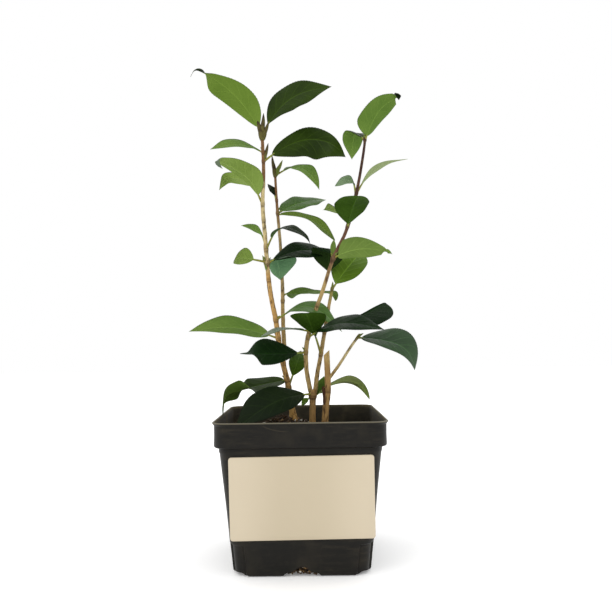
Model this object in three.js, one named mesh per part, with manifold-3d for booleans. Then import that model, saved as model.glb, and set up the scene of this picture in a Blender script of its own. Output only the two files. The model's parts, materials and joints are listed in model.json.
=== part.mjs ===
// A young camellia with several canes, built together with its square nursery pot.
// Millimetres, +Z up. The origin is the middle of the pot's flat underside, and the label faces -Y.
import * as THREE from 'three';
import { mergeVertices } from 'three/addons/utils/BufferGeometryUtils.js';
import Module from 'manifold-3d';

const wasm = await Module();
wasm.setup();

// Driving dimensions of the pot
const potHeight = 94;
const lipHalfWidth = 54;
const bandHalfWidth = 53;
const bandHeight = 15.5;
const ledgeHeight = 3.5;
const shoulderHalfWidth = 49.9;
const stepHeight = 19.5;
const stepRise = 5;
const stepHalfWidth = 44.6;
const footHalfWidth = 42.4;
const stepUndercut = 0.7;
const footRound = 3;
const lipThickness = 0.8;
const lipFlareHeight = 2.2;
const wallThickness = 1.2;
const floorThickness = 1.5;
const cornerRadius = 9;
const notchWidth = 26;
const notchHeight = 6.5;

// Driving dimensions of the label, the potting mix and the leaves
const labelWidth = 88;
const labelHeight = 51;
const labelThickness = 0.6;
const labelCentre = { x: 0.6, z: 48.2 };
const labelTilt = THREE.MathUtils.degToRad(0.5);
const mixLevel = 80;
const mixMound = { x: -10, y: 17, height: 9.5, spread: 19 };
const usualStalk = 7;
const stalkHalfWidth = 0.7;
const leafThickness = 0.7;
const clearance = 0.3;

const barkColour = '#9a7146';
const upperLeafColour = '#2c5229';
const youngLeafColour = '#4c7a35';

// Limbs as waypoints [x, y, height] along the middle of the wood, with the radius at foot and tip.
const limbs = {
  left: { foot: 2.1, tip: 1.1, flare: 0.9, way: [
    [-5.4, 14, 88.5], [-9, 14, 112], [-14.2, 12.6, 137], [-17.1, 11, 158], [-21, 8.5, 180],
    [-23.9, 6, 218], [-25.3, 4.5, 240], [-24.3, 3, 264], [-25.2, 2, 291.5]] },
  inner: { foot: 1.5, tip: 0.9, flare: 0, way: [
    [-11.2, 14.9, 137], [-12.2, 16, 158], [-12.4, 18, 184], [-13.6, 20, 212], [-16.2, 22, 247],
    [-17.2, 23, 269]] },
  middle: { foot: 2.2, tip: 2.2, flare: 0.8, way: [
    [7.5, -2, 81], [8.1, -2, 98], [8.4, -1.5, 110]] },
  right: { foot: 1.6, tip: 0.9, flare: 0, way: [
    [6.5, -2.2, 110], [4.3, -3, 124], [4.4, -3, 139], [10.4, -5, 162], [15.6, -6, 176],
    [23.5, -8, 199], [32.2, -9, 217], [40.2, -7, 244], [46.5, -5, 277], [47.4, -4, 284.5]] },
  centre: { foot: 1.6, tip: 1.1, flare: 0, way: [
    [10.3, -0.2, 110], [11.5, 1, 119], [14.7, 3, 135], [20.3, 6, 166], [23.4, 7, 181]] },
  stump: { foot: 2.3, tip: 2, flare: 0.8, way: [
    [15.5, -6, 80], [17.2, -6, 99], [18.6, -6, 112], [18.1, -6, 135]] },
  side: { foot: 1.1, tip: 0.8, flare: 0, way: [
    [18.5, -5.8, 116], [25.8, -10, 126], [34.2, -15, 139], [40, -18, 147]] },
};

// Bare stretches of the limbs, from one height to another.
const bareLimbs = [
  { name: 'cane_left', limb: 'left', from: 88.5, to: 137 },
  { name: 'cane_middle', limb: 'middle', from: 81, to: 110 },
  { name: 'stump_right', limb: 'stump', from: 80, to: 135, cutSlope: 0.9 },
  { name: 'bough_left', limb: 'left', from: 137, to: 188 },
  { name: 'bough_inner', limb: 'inner', from: 137, to: 226 },
  { name: 'bough_right', limb: 'right', from: 110, to: 192 },
  { name: 'bough_centre', limb: 'centre', from: 110, to: 170 },
  { name: 'bough_side', limb: 'side', from: 117, to: 143 },
];
const stumpSpur = { root: [17.2, -6, 101], tip: [16, -7.4, 112], rootRadius: 1.5, tipRadius: 0.9 };

// Masses of foliage. A leaf leaves its limb at a height; reach is the straight way from the wood's middle
// to its tip, heading its compass angle (0 along +X, 90 along +Y), and rise its angle above level. Arch bows
// the midrib out to the upper side and sway to the leaf's left, as shares of the reach, most at the share
// called peak. Roll turns the upper side to the leaf's right. Angles are in degrees.
const foliage = [
  { name: 'leaves_left_top', limb: 'left', from: 243, to: 291.5, leaves: [
    { at: 291, heading: 190, rise: 43, reach: 61, width: 25, arch: 0.15, sway: -0.04, roll: 30 },
    { at: 291, heading: 344, rise: 28, reach: 57, width: 27, arch: 0.06, sway: 0.17, roll: 55 },
    { at: 277.5, heading: 142, rise: 14, reach: 56, width: 23, arch: 0.06, roll: 10 },
    { at: 246, heading: 218, rise: 25, reach: 46, width: 26, arch: 0.16, roll: 12 },
    { at: 255.5, heading: 134, rise: 7, reach: 52, width: 22, arch: 0.13, peak: 0.6, roll: 15 },
    { at: 270, heading: 350, rise: -1, reach: 58, width: 27, arch: 0.12, peak: 0.54, sway: 0.17, roll: 68 },
  ], buds: [
    { at: 291, heading: 10, rise: 84, length: 15, width: 3.4 },
    { at: 288, heading: 190, rise: 76, length: 15, width: 3 },
    { at: 272, heading: 20, rise: 76, length: 13, width: 2.6 },
  ] },
  { name: 'leaves_left_middle', limb: 'left', from: 188, to: 243, leaves: [
    { at: 208.5, heading: 163, rise: 38, reach: 28, width: 14, arch: 0.24 },
    { at: 209, heading: 323, rise: 1, reach: 37, width: 18, arch: 0.28, roll: 25 },
    { at: 200, heading: 17, rise: 7, reach: 54, width: 24, arch: 0.14, roll: 35 },
    { at: 198, heading: 67, rise: -7, reach: 35, width: 22, arch: 0.18, roll: 8 },
    { at: 192, heading: 212, rise: 13, reach: 26, width: 15, arch: 0.3, peak: 0.45, roll: 20 },
  ] },
  { name: 'leaf_left_low', limb: 'left', leaves: [
    { at: 146.5, heading: 175, rise: 4, reach: 64, width: 25, arch: 0.07, sway: 0.02, roll: 32 },
  ] },
  { name: 'leaf_left_cross', limb: 'left', leaves: [
    { at: 157, heading: 344, rise: -11, reach: 50, width: 20, arch: 0.26, roll: 20 },
  ] },
  { name: 'leaf_foot_outer', limb: 'left', leaves: [
    { at: 114.5, heading: 202, rise: -23, reach: 50, width: 21, arch: 0.15, peak: 0.62, roll: -22 },
  ] },
  { name: 'leaf_foot_back', limb: 'left', leaves: [
    { at: 110.5, heading: 76, rise: 47, reach: 38, width: 17, arch: 0.1, roll: 30 },
  ] },
  { name: 'leaves_inner_top', limb: 'inner', from: 226, to: 269, leaves: [
    { at: 266.5, heading: 40, rise: -3, reach: 46, width: 21, arch: 0.22, roll: 5 },
    { at: 236, heading: 36, rise: 23, reach: 48, width: 21, arch: 0.06, roll: 25 },
    { at: 237, heading: 346, rise: -28, reach: 48, width: 18, arch: 0.12, roll: -6 },
    { at: 247.5, heading: 180, rise: 62, reach: 14, width: 5, arch: 0.1, stalk: 3 },
  ], buds: [
    { at: 268, heading: 185, rise: 80, length: 14, width: 2.8 },
    { at: 267, heading: 350, rise: 66, length: 10, width: 2.2 },
  ] },
  { name: 'leaf_inner_low', limb: 'inner', leaves: [
    { at: 166, heading: 33, rise: 8, reach: 48, width: 20, arch: 0.22, peak: 0.3, roll: 6 },
  ] },
  { name: 'leaf_middle_front', limb: 'middle', leaves: [
    { at: 107, heading: 209, rise: -20, reach: 61, width: 22, arch: 0.17, roll: -44 },
  ] },
  { name: 'leaf_middle_small', limb: 'middle', leaves: [
    { at: 105, heading: 190, rise: -38, reach: 10, width: 6, arch: 0.15, roll: -30, stalk: 3 },
  ] },
  { name: 'leaf_middle_back', limb: 'middle', leaves: [
    { at: 105.5, heading: 18, rise: -2, reach: 43, width: 17, arch: 0.27, peak: 0.54, roll: -18 },
  ] },
  { name: 'leaves_right_top', limb: 'right', from: 255, to: 284.5, leaves: [
    { at: 283, heading: 338, rise: 51, reach: 40, width: 24, arch: 0.08, sway: -0.07, roll: -35, stalk: 3 },
    { at: 283, heading: 112, rise: 0, reach: 42, width: 19, arch: 0.12, roll: 30, stalk: 4 },
  ] },
  { name: 'leaves_right_upper', limb: 'right', from: 212, to: 255, leaves: [
    { at: 245, heading: 22, rise: 32, reach: 50, width: 20, arch: 0.14, roll: -8 },
    { at: 243.5, heading: 134, rise: 28, reach: 25, width: 13, arch: 0.34, roll: 15 },
    { at: 221, heading: 283, rise: 25, reach: 35, width: 24, arch: 0.08, stalk: 2.5 },
    { at: 223.5, heading: 116, rise: 28, reach: 34, width: 16, arch: 0.12, roll: 10 },
  ] },
  { name: 'leaves_right_middle', limb: 'right', from: 192, to: 212, leaves: [
    { at: 198.5, heading: 80, rise: 64, reach: 17, width: 7, arch: 0.08, stalk: 3 },
    { at: 199, heading: 328, rise: -2, reach: 43, width: 24, arch: 0.1, sway: 0.07, roll: 45, stalk: 3 },
    { at: 197, heading: 108, rise: -3, reach: 36, width: 18, arch: 0.1, roll: 8 },
  ] },
  { name: 'leaf_right_edge', limb: 'right', leaves: [
    { at: 149, heading: 220, rise: -7, reach: 42, width: 18, arch: 0.08, roll: -3 },
  ] },
  { name: 'leaf_right_dark', limb: 'right', leaves: [
    { at: 135.5, heading: 212, rise: 0, reach: 49, width: 24, arch: 0.04, sway: 0.06, roll: -42 },
  ] },
  { name: 'leaf_right_long', limb: 'right', leaves: [
    { at: 146, heading: 321, rise: 3, reach: 59, width: 22, arch: 0.12, roll: 28 },
  ] },
  { name: 'leaves_centre_top', limb: 'centre', from: 170, to: 181, leaves: [
    { at: 180, heading: 33, rise: 46, reach: 40, width: 26, arch: 0.08, sway: -0.05, roll: 22, stalk: 4 },
  ] },
  { name: 'leaf_centre_back', limb: 'centre', leaves: [
    { at: 151, heading: 36, rise: 15, reach: 67, width: 24, arch: -0.03, roll: 30 },
  ] },
  { name: 'leaf_centre_fan', limb: 'centre', leaves: [
    { at: 133, heading: 122, rise: 55, reach: 40, width: 22, arch: 0.2 },
  ] },
  { name: 'leaves_side', limb: 'side', from: 143, to: 147, leaves: [
    { at: 146, heading: 318, rise: -27, reach: 46, width: 24, arch: 0.31, peak: 0.64, roll: 22, stalk: 3 },
  ] },
];

const degrees = THREE.MathUtils.degToRad;
const up = new THREE.Vector3(0, 0, 1);

// Solids and booleans

// Skins a closed body over rings of equal length, with flat caps on the first and last ring.
function loft(rings) {
  const count = rings[0].length;
  const positions = rings.flat().flatMap((point) => [point.x, point.y, point.z]);
  const triangles = [];
  for (let r = 0; r + 1 < rings.length; r += 1) {
    for (let i = 0; i < count; i += 1) {
      const a = r * count + i;
      const b = r * count + (i + 1) % count;
      triangles.push(a, b, b + count, a, b + count, a + count);
    }
  }
  const last = (rings.length - 1) * count;
  for (let i = 1; i + 1 < count; i += 1) {
    triangles.push(0, i + 1, i, last, last + i, last + i + 1);
  }
  const geometry = new THREE.BufferGeometry();
  geometry.setAttribute('position', new THREE.Float32BufferAttribute(positions, 3));
  geometry.setIndex(triangles);
  return solid(geometry);
}

function signedVolume(positions, triangles) {
  const corners = [0, 1, 2].map(() => new THREE.Vector3());
  let volume = 0;
  for (let i = 0; i < triangles.length; i += 3) {
    corners.forEach((corner, k) => corner.fromArray(positions, triangles[i + k] * 3));
    volume += corners[0].dot(corners[1].clone().cross(corners[2])) / 6;
  }
  return volume;
}

// Turns a closed geometry into a boolean solid with its faces pointing out.
function solid(source) {
  const bare = source.clone();
  bare.deleteAttribute('normal');
  bare.deleteAttribute('uv');
  const geometry = mergeVertices(bare, 1e-4);
  const positions = new Float32Array(geometry.attributes.position.array);
  const triangles = new Uint32Array(geometry.index.array);
  if (signedVolume(positions, triangles) < 0) {
    for (let i = 0; i < triangles.length; i += 3) {
      [triangles[i + 1], triangles[i + 2]] = [triangles[i + 2], triangles[i + 1]];
    }
  }
  return new wasm.Manifold(new wasm.Mesh({ numProp: 3, vertProperties: positions, triVerts: triangles }));
}

function union(solids) {
  return solids.reduce((whole, piece) => whole.add(piece));
}

// Keeps the largest body of a cut solid and drops loose scraps.
function largestBody(cut) {
  const bodies = cut.decompose();
  return bodies.reduce((best, body) => (body.volume() > best.volume() ? body : best));
}

function mesh(name, body, colour, roughness) {
  const { vertProperties, triVerts } = body.getMesh();
  const geometry = new THREE.BufferGeometry();
  geometry.setAttribute('position', new THREE.Float32BufferAttribute(vertProperties, 3));
  geometry.setIndex(Array.from(triVerts));
  geometry.computeVertexNormals();
  const material = new THREE.MeshStandardMaterial({ color: colour, roughness, metalness: 0 });
  const named = new THREE.Mesh(geometry, material);
  named.name = name;
  return named;
}

// The pot, its label and the potting mix

// A level ring in the shape of a square with rounded corners.
function squareRing(half, height, radius = cornerRadius) {
  const stepsPerCorner = 5;
  const ring = [];
  for (let corner = 0; corner < 4; corner += 1) {
    for (let step = 0; step <= stepsPerCorner; step += 1) {
      const angle = (corner + step / stepsPerCorner) * Math.PI / 2;
      const middle = (corner + 0.5) * Math.PI / 2;
      const inset = (half - radius) * Math.SQRT2;
      ring.push(new THREE.Vector3(
        inset * Math.cos(middle) + radius * Math.cos(angle),
        inset * Math.sin(middle) + radius * Math.sin(angle),
        height,
      ));
    }
  }
  return ring;
}

// Half the pot's outer width on its sloping wall between the step and the ledge.
function wallHalfWidth(height) {
  const top = potHeight - bandHeight - ledgeHeight;
  const share = (height - stepHeight) / (top - stepHeight);
  return THREE.MathUtils.lerp(stepHalfWidth, shoulderHalfWidth, share);
}

function potBody() {
  const bandFoot = potHeight - bandHeight;
  const ledge = bandFoot - ledgeHeight;
  const outer = [
    squareRing(footHalfWidth - footRound, 0, cornerRadius - 2),
    squareRing(footHalfWidth - 0.9, 0.9, cornerRadius - 1),
    squareRing(footHalfWidth, footRound, cornerRadius - 1),
    squareRing(footHalfWidth + stepUndercut, stepHeight - stepRise),
    squareRing(stepHalfWidth, stepHeight),
    squareRing(shoulderHalfWidth, ledge),
    squareRing(shoulderHalfWidth + 0.8, ledge + 1),
    squareRing(shoulderHalfWidth + 1, bandFoot - 0.6),
    squareRing(bandHalfWidth - 0.6, bandFoot),
    squareRing(bandHalfWidth, bandFoot + 1.2),
    squareRing(bandHalfWidth, potHeight - lipFlareHeight),
    squareRing(lipHalfWidth, potHeight - lipThickness),
    squareRing(lipHalfWidth, potHeight),
  ];
  const inner = [
    squareRing(lipHalfWidth - wallThickness, potHeight),
    squareRing(bandHalfWidth - wallThickness, potHeight - lipFlareHeight),
    squareRing(bandHalfWidth - wallThickness, bandFoot + 1.4),
    squareRing(shoulderHalfWidth - wallThickness + 0.6, bandFoot),
    squareRing(shoulderHalfWidth - wallThickness, ledge),
    squareRing(stepHalfWidth - wallThickness, stepHeight),
    squareRing(footHalfWidth + stepUndercut - wallThickness, stepHeight - stepRise),
    squareRing(footHalfWidth - wallThickness, footRound),
    squareRing(footHalfWidth - footRound, floorThickness, cornerRadius - 2),
  ];
  return loft([...outer, ...inner]);
}

// A low arch cut through the foot of each side, where water drains.
function drainNotch(side) {
  const arch = new THREE.Shape();
  arch.moveTo(-notchWidth / 2, -1);
  arch.lineTo(notchWidth / 2, -1);
  arch.bezierCurveTo(notchWidth / 3, 0, notchWidth / 4, notchHeight, 0, notchHeight);
  arch.bezierCurveTo(-notchWidth / 4, notchHeight, -notchWidth / 3, 0, -notchWidth / 2, -1);
  const depth = 12;
  const geometry = new THREE.ExtrudeGeometry(arch, { depth, bevelEnabled: false, curveSegments: 6 });
  geometry.rotateX(Math.PI / 2);
  geometry.translate(0, depth / 2 - footHalfWidth - 3, 0);
  geometry.rotateZ(side * Math.PI / 2);
  return solid(geometry);
}

function pot() {
  const notches = [0, 1, 2, 3].map((side) => drainNotch(side));
  return potBody().subtract(union(notches));
}

// A thin stiff plate with rounded corners, lying against the sloping front wall.
function label() {
  const cornerRound = 1.4;
  const x = labelWidth / 2;
  const y = labelHeight / 2;
  const outline = new THREE.Shape();
  outline.absarc(x - cornerRound, y - cornerRound, cornerRound, 0, Math.PI / 2);
  outline.absarc(cornerRound - x, y - cornerRound, cornerRound, Math.PI / 2, Math.PI);
  outline.absarc(cornerRound - x, cornerRound - y, cornerRound, Math.PI, Math.PI * 1.5);
  outline.absarc(x - cornerRound, cornerRound - y, cornerRound, Math.PI * 1.5, Math.PI * 2);
  const geometry = new THREE.ExtrudeGeometry(outline, {
    depth: labelThickness, bevelEnabled: false, curveSegments: 3,
  });
  const slope = (wallHalfWidth(labelCentre.z + 1) - wallHalfWidth(labelCentre.z - 1)) / 2;
  geometry.rotateZ(labelTilt);
  geometry.rotateX(Math.PI / 2 + Math.atan(slope));
  geometry.translate(labelCentre.x, -wallHalfWidth(labelCentre.z) - clearance * 1.2, labelCentre.z);
  return solid(geometry);
}

function mixHeight(x, y) {
  const away = Math.hypot(x - mixMound.x, y - mixMound.y) / mixMound.spread;
  return mixLevel + mixMound.height * Math.exp(-away * away);
}

// The potting mix fills the pot to a gently mounded top, with a level seat under each cane.
function pottingMix(seats) {
  const inset = wallThickness + clearance + 0.15;
  const bandFoot = potHeight - bandHeight;
  const ledge = bandFoot - ledgeHeight;
  const topHalf = bandHalfWidth - inset;
  const rings = [
    squareRing(footHalfWidth - footRound - 0.4, floorThickness + clearance, cornerRadius - 2),
    squareRing(footHalfWidth - inset, footRound + clearance),
    squareRing(footHalfWidth + stepUndercut - inset, stepHeight - stepRise),
    squareRing(stepHalfWidth - inset, stepHeight),
    squareRing(shoulderHalfWidth - inset, ledge),
    squareRing(shoulderHalfWidth - inset, bandFoot + 0.6),
    squareRing(topHalf, bandFoot + 2),
  ];
  for (const share of [1, 0.84, 0.68, 0.52, 0.36, 0.2, 0.08]) {
    const ring = squareRing(topHalf * share, 0, cornerRadius * share);
    ring.forEach((point) => { point.z = mixHeight(point.x, point.y); });
    rings.push(ring);
  }
  return loft(rings).subtract(union(seats));
}

// Wood

// The middle of the wood at a height, on a smooth curve through the limb's waypoints.
function limbPath(limb) {
  const points = limb.way.map(([x, y, z]) => new THREE.Vector3(x, y, z));
  const samples = new THREE.CatmullRomCurve3(points, false, 'centripetal').getPoints(240);
  const foot = points[0].z;
  const tip = points.at(-1).z;
  const flareHeight = 3.5;
  return {
    foot,
    middle(height) {
      const below = samples.filter((sample) => sample.z < height).length;
      const upper = THREE.MathUtils.clamp(below, 1, samples.length - 1);
      const low = samples[upper - 1];
      const high = samples[upper];
      return low.clone().lerp(high, (height - low.z) / (high.z - low.z));
    },
    radius(height) {
      const share = (height - foot) / (tip - foot);
      const swell = limb.flare * Math.exp((foot - height) / flareHeight);
      return THREE.MathUtils.lerp(limb.foot, limb.tip, share) + swell;
    },
  };
}

const paths = Object.fromEntries(Object.entries(limbs).map(([name, limb]) => [name, limbPath(limb)]));

// A stretch of a limb with level rings, so that the next stretch meets it face to face. Swell makes
// it thicker all round, and cutSlope slants the top.
function limbStretch({ limb, from, to, cutSlope = 0 }, swell = 0) {
  const path = paths[limb];
  const sides = 8;
  const stations = Math.max(2, Math.ceil((to - from) / 8));
  const rings = [];
  for (let station = 0; station <= stations; station += 1) {
    const height = THREE.MathUtils.lerp(from, to, station / stations);
    const middle = path.middle(height);
    const radius = path.radius(Math.max(height, path.foot)) + swell;
    const slope = station === stations ? cutSlope : 0;
    const ring = [];
    for (let side = 0; side < sides; side += 1) {
      const angle = (side + 0.5) * Math.PI * 2 / sides;
      const across = radius * Math.cos(angle);
      ring.push(new THREE.Vector3(middle.x + across, middle.y + radius * Math.sin(angle), height + slope * across));
    }
    rings.push(ring);
  }
  return loft(rings);
}

// A straight tapering rod between two points.
function rod(root, tip, rootRadius, tipRadius) {
  const geometry = new THREE.CylinderGeometry(tipRadius, rootRadius, root.distanceTo(tip), 6);
  const along = tip.clone().sub(root).normalize();
  geometry.applyQuaternion(new THREE.Quaternion().setFromUnitVectors(new THREE.Vector3(0, 1, 0), along));
  const middle = root.clone().add(tip).multiplyScalar(0.5);
  geometry.translate(middle.x, middle.y, middle.z);
  return solid(geometry);
}

// Leaves and buds

// Directions of a leaf: along its reach, out of its upper side, and to its left.
function leafFrame({ heading, rise, roll = 0 }) {
  const along = new THREE.Vector3(1, 0, 0);
  along.applyAxisAngle(new THREE.Vector3(0, -1, 0), degrees(rise));
  along.applyAxisAngle(up, degrees(heading));
  const level = up.clone().cross(along).normalize();
  const left = level.clone().applyAxisAngle(along, degrees(roll));
  const upper = along.clone().cross(left);
  return { along, upper, left };
}

// Half a blade's width as a share of its widest, from the foot of the blade to its drawn-out tip.
function bladeShare(share) {
  const oval = Math.sin(Math.PI * share ** 0.8) ** 0.9;
  const drawnOut = 1 - 0.35 * THREE.MathUtils.smoothstep(share, 0.7, 1);
  return oval * drawnOut;
}

// A leaf whose stalk starts inside the wood: six-sided rings along the bowed midrib.
function leafSolid(root, leaf) {
  const { reach, width, arch, peak = 0.5, sway = 0, fold = 0.12, stalk = usualStalk } = leaf;
  const { along, upper, left } = leafFrame(leaf);
  const stalkShare = Math.min(0.4, stalk / reach);
  const bow = Math.log(0.5) / Math.log(peak);
  const midrib = (share) => {
    const lift = Math.sin(Math.PI * share ** bow) * reach;
    return root.clone()
      .addScaledVector(along, reach * share)
      .addScaledVector(upper, lift * arch)
      .addScaledVector(left, lift * sway);
  };
  const rings = [];
  const section = (share, half, thickness, foldShare) => {
    const nudge = 0.01;
    const tangent = midrib(share + nudge).sub(midrib(Math.max(0, share - nudge))).normalize();
    const normal = tangent.clone().cross(left).normalize();
    const across = normal.clone().cross(tangent);
    const centre = midrib(share);
    const raised = foldShare * half;
    const corner = (side, height) => centre.clone()
      .addScaledVector(across, side * half)
      .addScaledVector(normal, height);
    const skin = thickness / 2;
    rings.push([
      corner(1, raised + skin), corner(0, skin), corner(-1, raised + skin),
      corner(-1, raised - skin), corner(0, -skin), corner(1, raised - skin),
    ]);
  };
  const stalkThickness = 1.2;
  section(0, stalkHalfWidth, stalkThickness, 0);
  section(stalkShare, stalkHalfWidth, stalkThickness, 0);
  for (const share of [0.06, 0.16, 0.3, 0.45, 0.6, 0.74, 0.86, 0.95, 0.999]) {
    const tipHalfWidth = 0.3;
    const half = Math.max(tipHalfWidth, bladeShare(share) * width / 2);
    section(stalkShare + (1 - stalkShare) * share, half, leafThickness, fold);
  }
  return loft(rings);
}

// A pointed bud, thickest a third of the way up.
function budSolid(root, { heading, rise, length, width }) {
  const { along, upper, left } = leafFrame({ heading, rise });
  const sides = 6;
  const rings = [[0, 0.5], [0.3, 0.75], [0.55, 1], [0.8, 0.6], [1, 0.12]].map(([share, girth]) => {
    const ring = [];
    for (let side = 0; side < sides; side += 1) {
      const angle = side * Math.PI * 2 / sides;
      ring.push(root.clone()
        .addScaledVector(along, share * length)
        .addScaledVector(upper, Math.cos(angle) * girth * width / 2)
        .addScaledVector(left, Math.sin(angle) * girth * width / 2));
    }
    return ring;
  });
  return loft(rings);
}

// Assembly

// Leaves fused with their shoot, kept clear of every bare limb.
function foliageMass({ limb, from, to, leaves, buds = [] }, bareWood) {
  const path = paths[limb];
  const parts = leaves.map((leaf) => leafSolid(path.middle(leaf.at), leaf));
  buds.forEach((bud) => parts.push(budSolid(path.middle(bud.at), bud)));
  if (from !== undefined) {
    parts.push(limbStretch({ limb, from: from + clearance, to }));
  }
  return largestBody(union(parts).subtract(bareWood));
}

function canes() {
  const solids = new Map();
  bareLimbs.forEach((stretch) => {
    const grown = [...solids.keys()].map((name) => {
      const earlier = bareLimbs.find((other) => other.name === name);
      return limbStretch({ ...earlier, from: earlier.from - clearance, to: earlier.to + clearance }, clearance);
    });
    const wood = limbStretch(stretch);
    solids.set(stretch.name, grown.length ? largestBody(wood.subtract(union(grown))) : wood);
  });
  const { root, tip, rootRadius, tipRadius } = stumpSpur;
  const spur = rod(new THREE.Vector3(...root), new THREE.Vector3(...tip), rootRadius, tipRadius);
  solids.set('stump_right', solids.get('stump_right').add(spur));
  return solids;
}

// A short upright cylinder that clears the mix from under and around a cane's foot.
function seat({ limb, from }) {
  const path = paths[limb];
  const middle = path.middle(from);
  const depth = 12;
  const radius = path.radius(from) + clearance;
  const geometry = new THREE.CylinderGeometry(radius, radius, depth, 12);
  geometry.rotateX(Math.PI / 2);
  geometry.translate(middle.x, middle.y, from - clearance + depth / 2);
  return solid(geometry);
}

const camellia = new THREE.Group();
const footed = bareLimbs.filter((stretch) => stretch.from === paths[stretch.limb].foot && limbs[stretch.limb].flare);
camellia.add(mesh('pot', pot(), '#2b2b29', 0.55));
camellia.add(mesh('label', label(), '#d9ccb2', 0.5));
camellia.add(mesh('potting_mix', pottingMix(footed.map(seat)), '#3b2d22', 0.95));

const wood = canes();
wood.forEach((body, name) => camellia.add(mesh(name, body, barkColour, 0.8)));

const grownWood = union(bareLimbs.map((stretch) => (
  limbStretch({ ...stretch, from: stretch.from - clearance, to: stretch.to + clearance }, clearance)
)));
foliage.forEach((mass) => {
  const colour = mass.from === undefined ? upperLeafColour : youngLeafColour;
  camellia.add(mesh(mass.name, foliageMass(mass, grownWood), colour, 0.45));
});

export default camellia;
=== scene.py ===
"""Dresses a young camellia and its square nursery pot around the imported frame.

The sizes held by the classes are in millimetres, in the frame's own axes: +Z up, and the label facing -Y.
Meshes are gathered in millimetres and scaled to metres when a piece is made.
"""

import json
import logging
import math
import random
from dataclasses import dataclass, field
from enum import Enum
from typing import Any, Optional, Sequence

import bmesh
import bpy
import numpy as np
from mathutils import Matrix, Vector, noise

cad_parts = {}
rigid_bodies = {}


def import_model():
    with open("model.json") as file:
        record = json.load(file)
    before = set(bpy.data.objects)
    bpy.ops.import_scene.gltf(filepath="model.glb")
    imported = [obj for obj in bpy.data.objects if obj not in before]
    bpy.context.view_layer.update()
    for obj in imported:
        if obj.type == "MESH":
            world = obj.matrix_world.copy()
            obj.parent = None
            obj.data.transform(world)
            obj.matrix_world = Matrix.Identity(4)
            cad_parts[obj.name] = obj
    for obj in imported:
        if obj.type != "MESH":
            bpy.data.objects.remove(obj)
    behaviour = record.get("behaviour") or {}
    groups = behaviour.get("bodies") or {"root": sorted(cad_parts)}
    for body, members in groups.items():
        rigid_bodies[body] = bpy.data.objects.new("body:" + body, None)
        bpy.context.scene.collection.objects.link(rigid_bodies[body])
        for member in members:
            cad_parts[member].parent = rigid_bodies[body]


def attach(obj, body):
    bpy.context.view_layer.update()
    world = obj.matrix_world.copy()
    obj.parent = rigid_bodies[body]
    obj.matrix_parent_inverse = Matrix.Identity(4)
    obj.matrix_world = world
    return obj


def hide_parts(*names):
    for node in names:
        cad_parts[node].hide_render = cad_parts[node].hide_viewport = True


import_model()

log = logging.getLogger("camellia")

MILLIMETRE = 0.001
BODY = "root"
PICTURE_WIDTH = 612
VEIN_PAIRS = 7.0
VEIN_SLANT = 1.6
PLAIN_ROUGHNESS = 0.5
LIMB_SAMPLES = 241
FLARE_HEIGHT = 3.5
Colour = tuple[float, float, float, float]
Triple = tuple[float, float, float]
Socket = bpy.types.NodeSocket


# Small helpers


def paint(red: int, green: int, blue: int) -> Colour:
    """Turns a colour as a screen shows it, 0 to 255, into a shader's linear colour.

    Args:
        red: Red as shown on a screen.
        green: Green as shown on a screen.
        blue: Blue as shown on a screen.

    Returns:
        The linear colour with full alpha.
    """
    linear = []
    for level in (red, green, blue):
        share = level / 255
        linear.append(share / 12.92 if share <= 0.04045 else ((share + 0.055) / 1.055) ** 2.4)
    return (linear[0], linear[1], linear[2], 1.0)


def smoothstep(low: float, high: float, value: Any) -> Any:
    """Eases from 0 at low to 1 at high, for a number or an array."""
    share = np.clip((np.asarray(value, float) - low) / (high - low), 0.0, 1.0)
    return share * share * (3 - 2 * share)


def unit(vector: np.ndarray) -> np.ndarray:
    """Scales a vector, or each row of an array of them, to length 1."""
    return vector / np.maximum(np.linalg.norm(vector, axis=-1, keepdims=True), 1e-12)


def turned(vector: np.ndarray, axis: np.ndarray, degrees: float) -> np.ndarray:
    """Turns a vector about a unit axis by the right-hand rule.

    Args:
        vector: What is turned.
        axis: The unit axis.
        degrees: How far.

    Returns:
        The turned vector.
    """
    angle = math.radians(degrees)
    across = np.cross(axis, vector)
    along = axis * float(np.dot(axis, vector))
    return vector * math.cos(angle) + across * math.sin(angle) + along * (1 - math.cos(angle))


def ripple(place: Sequence[float], size: float, seed: float = 0.0) -> float:
    """Smooth noise between about -1 and 1 with features of a size in millimetres."""
    return noise.noise(Vector((place[0] / size + seed, place[1] / size - seed, place[2] / size + 2 * seed)))


def round_angles(sides: int) -> list[float]:
    """The angles of a circle's corners, in radians."""
    return [side * math.tau / sides for side in range(sides)]


def quarter_turn(number: int) -> Matrix:
    """The turn from the front to one of the pot's four sides."""
    return Matrix.Rotation(number * math.pi / 2, 3, "Z")


def face_outward(mesh: bpy.types.Mesh, weld: float = 0.0) -> None:
    """Turns the faces of each closed body outward, after joining vertices closer than weld, in metres."""
    shape = bmesh.new()
    shape.from_mesh(mesh)
    if weld:
        bmesh.ops.remove_doubles(shape, verts=shape.verts, dist=weld)
    bmesh.ops.recalc_face_normals(shape, faces=shape.faces)
    shape.to_mesh(mesh)
    shape.free()


def shade(mesh: bpy.types.Mesh, crease: float) -> None:
    """Shades a mesh smooth, apart from edges sharper than a crease in degrees."""
    mesh.polygons.foreach_set("use_smooth", [True] * len(mesh.polygons))
    mesh.set_sharp_from_angle(angle=math.radians(crease))


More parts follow.
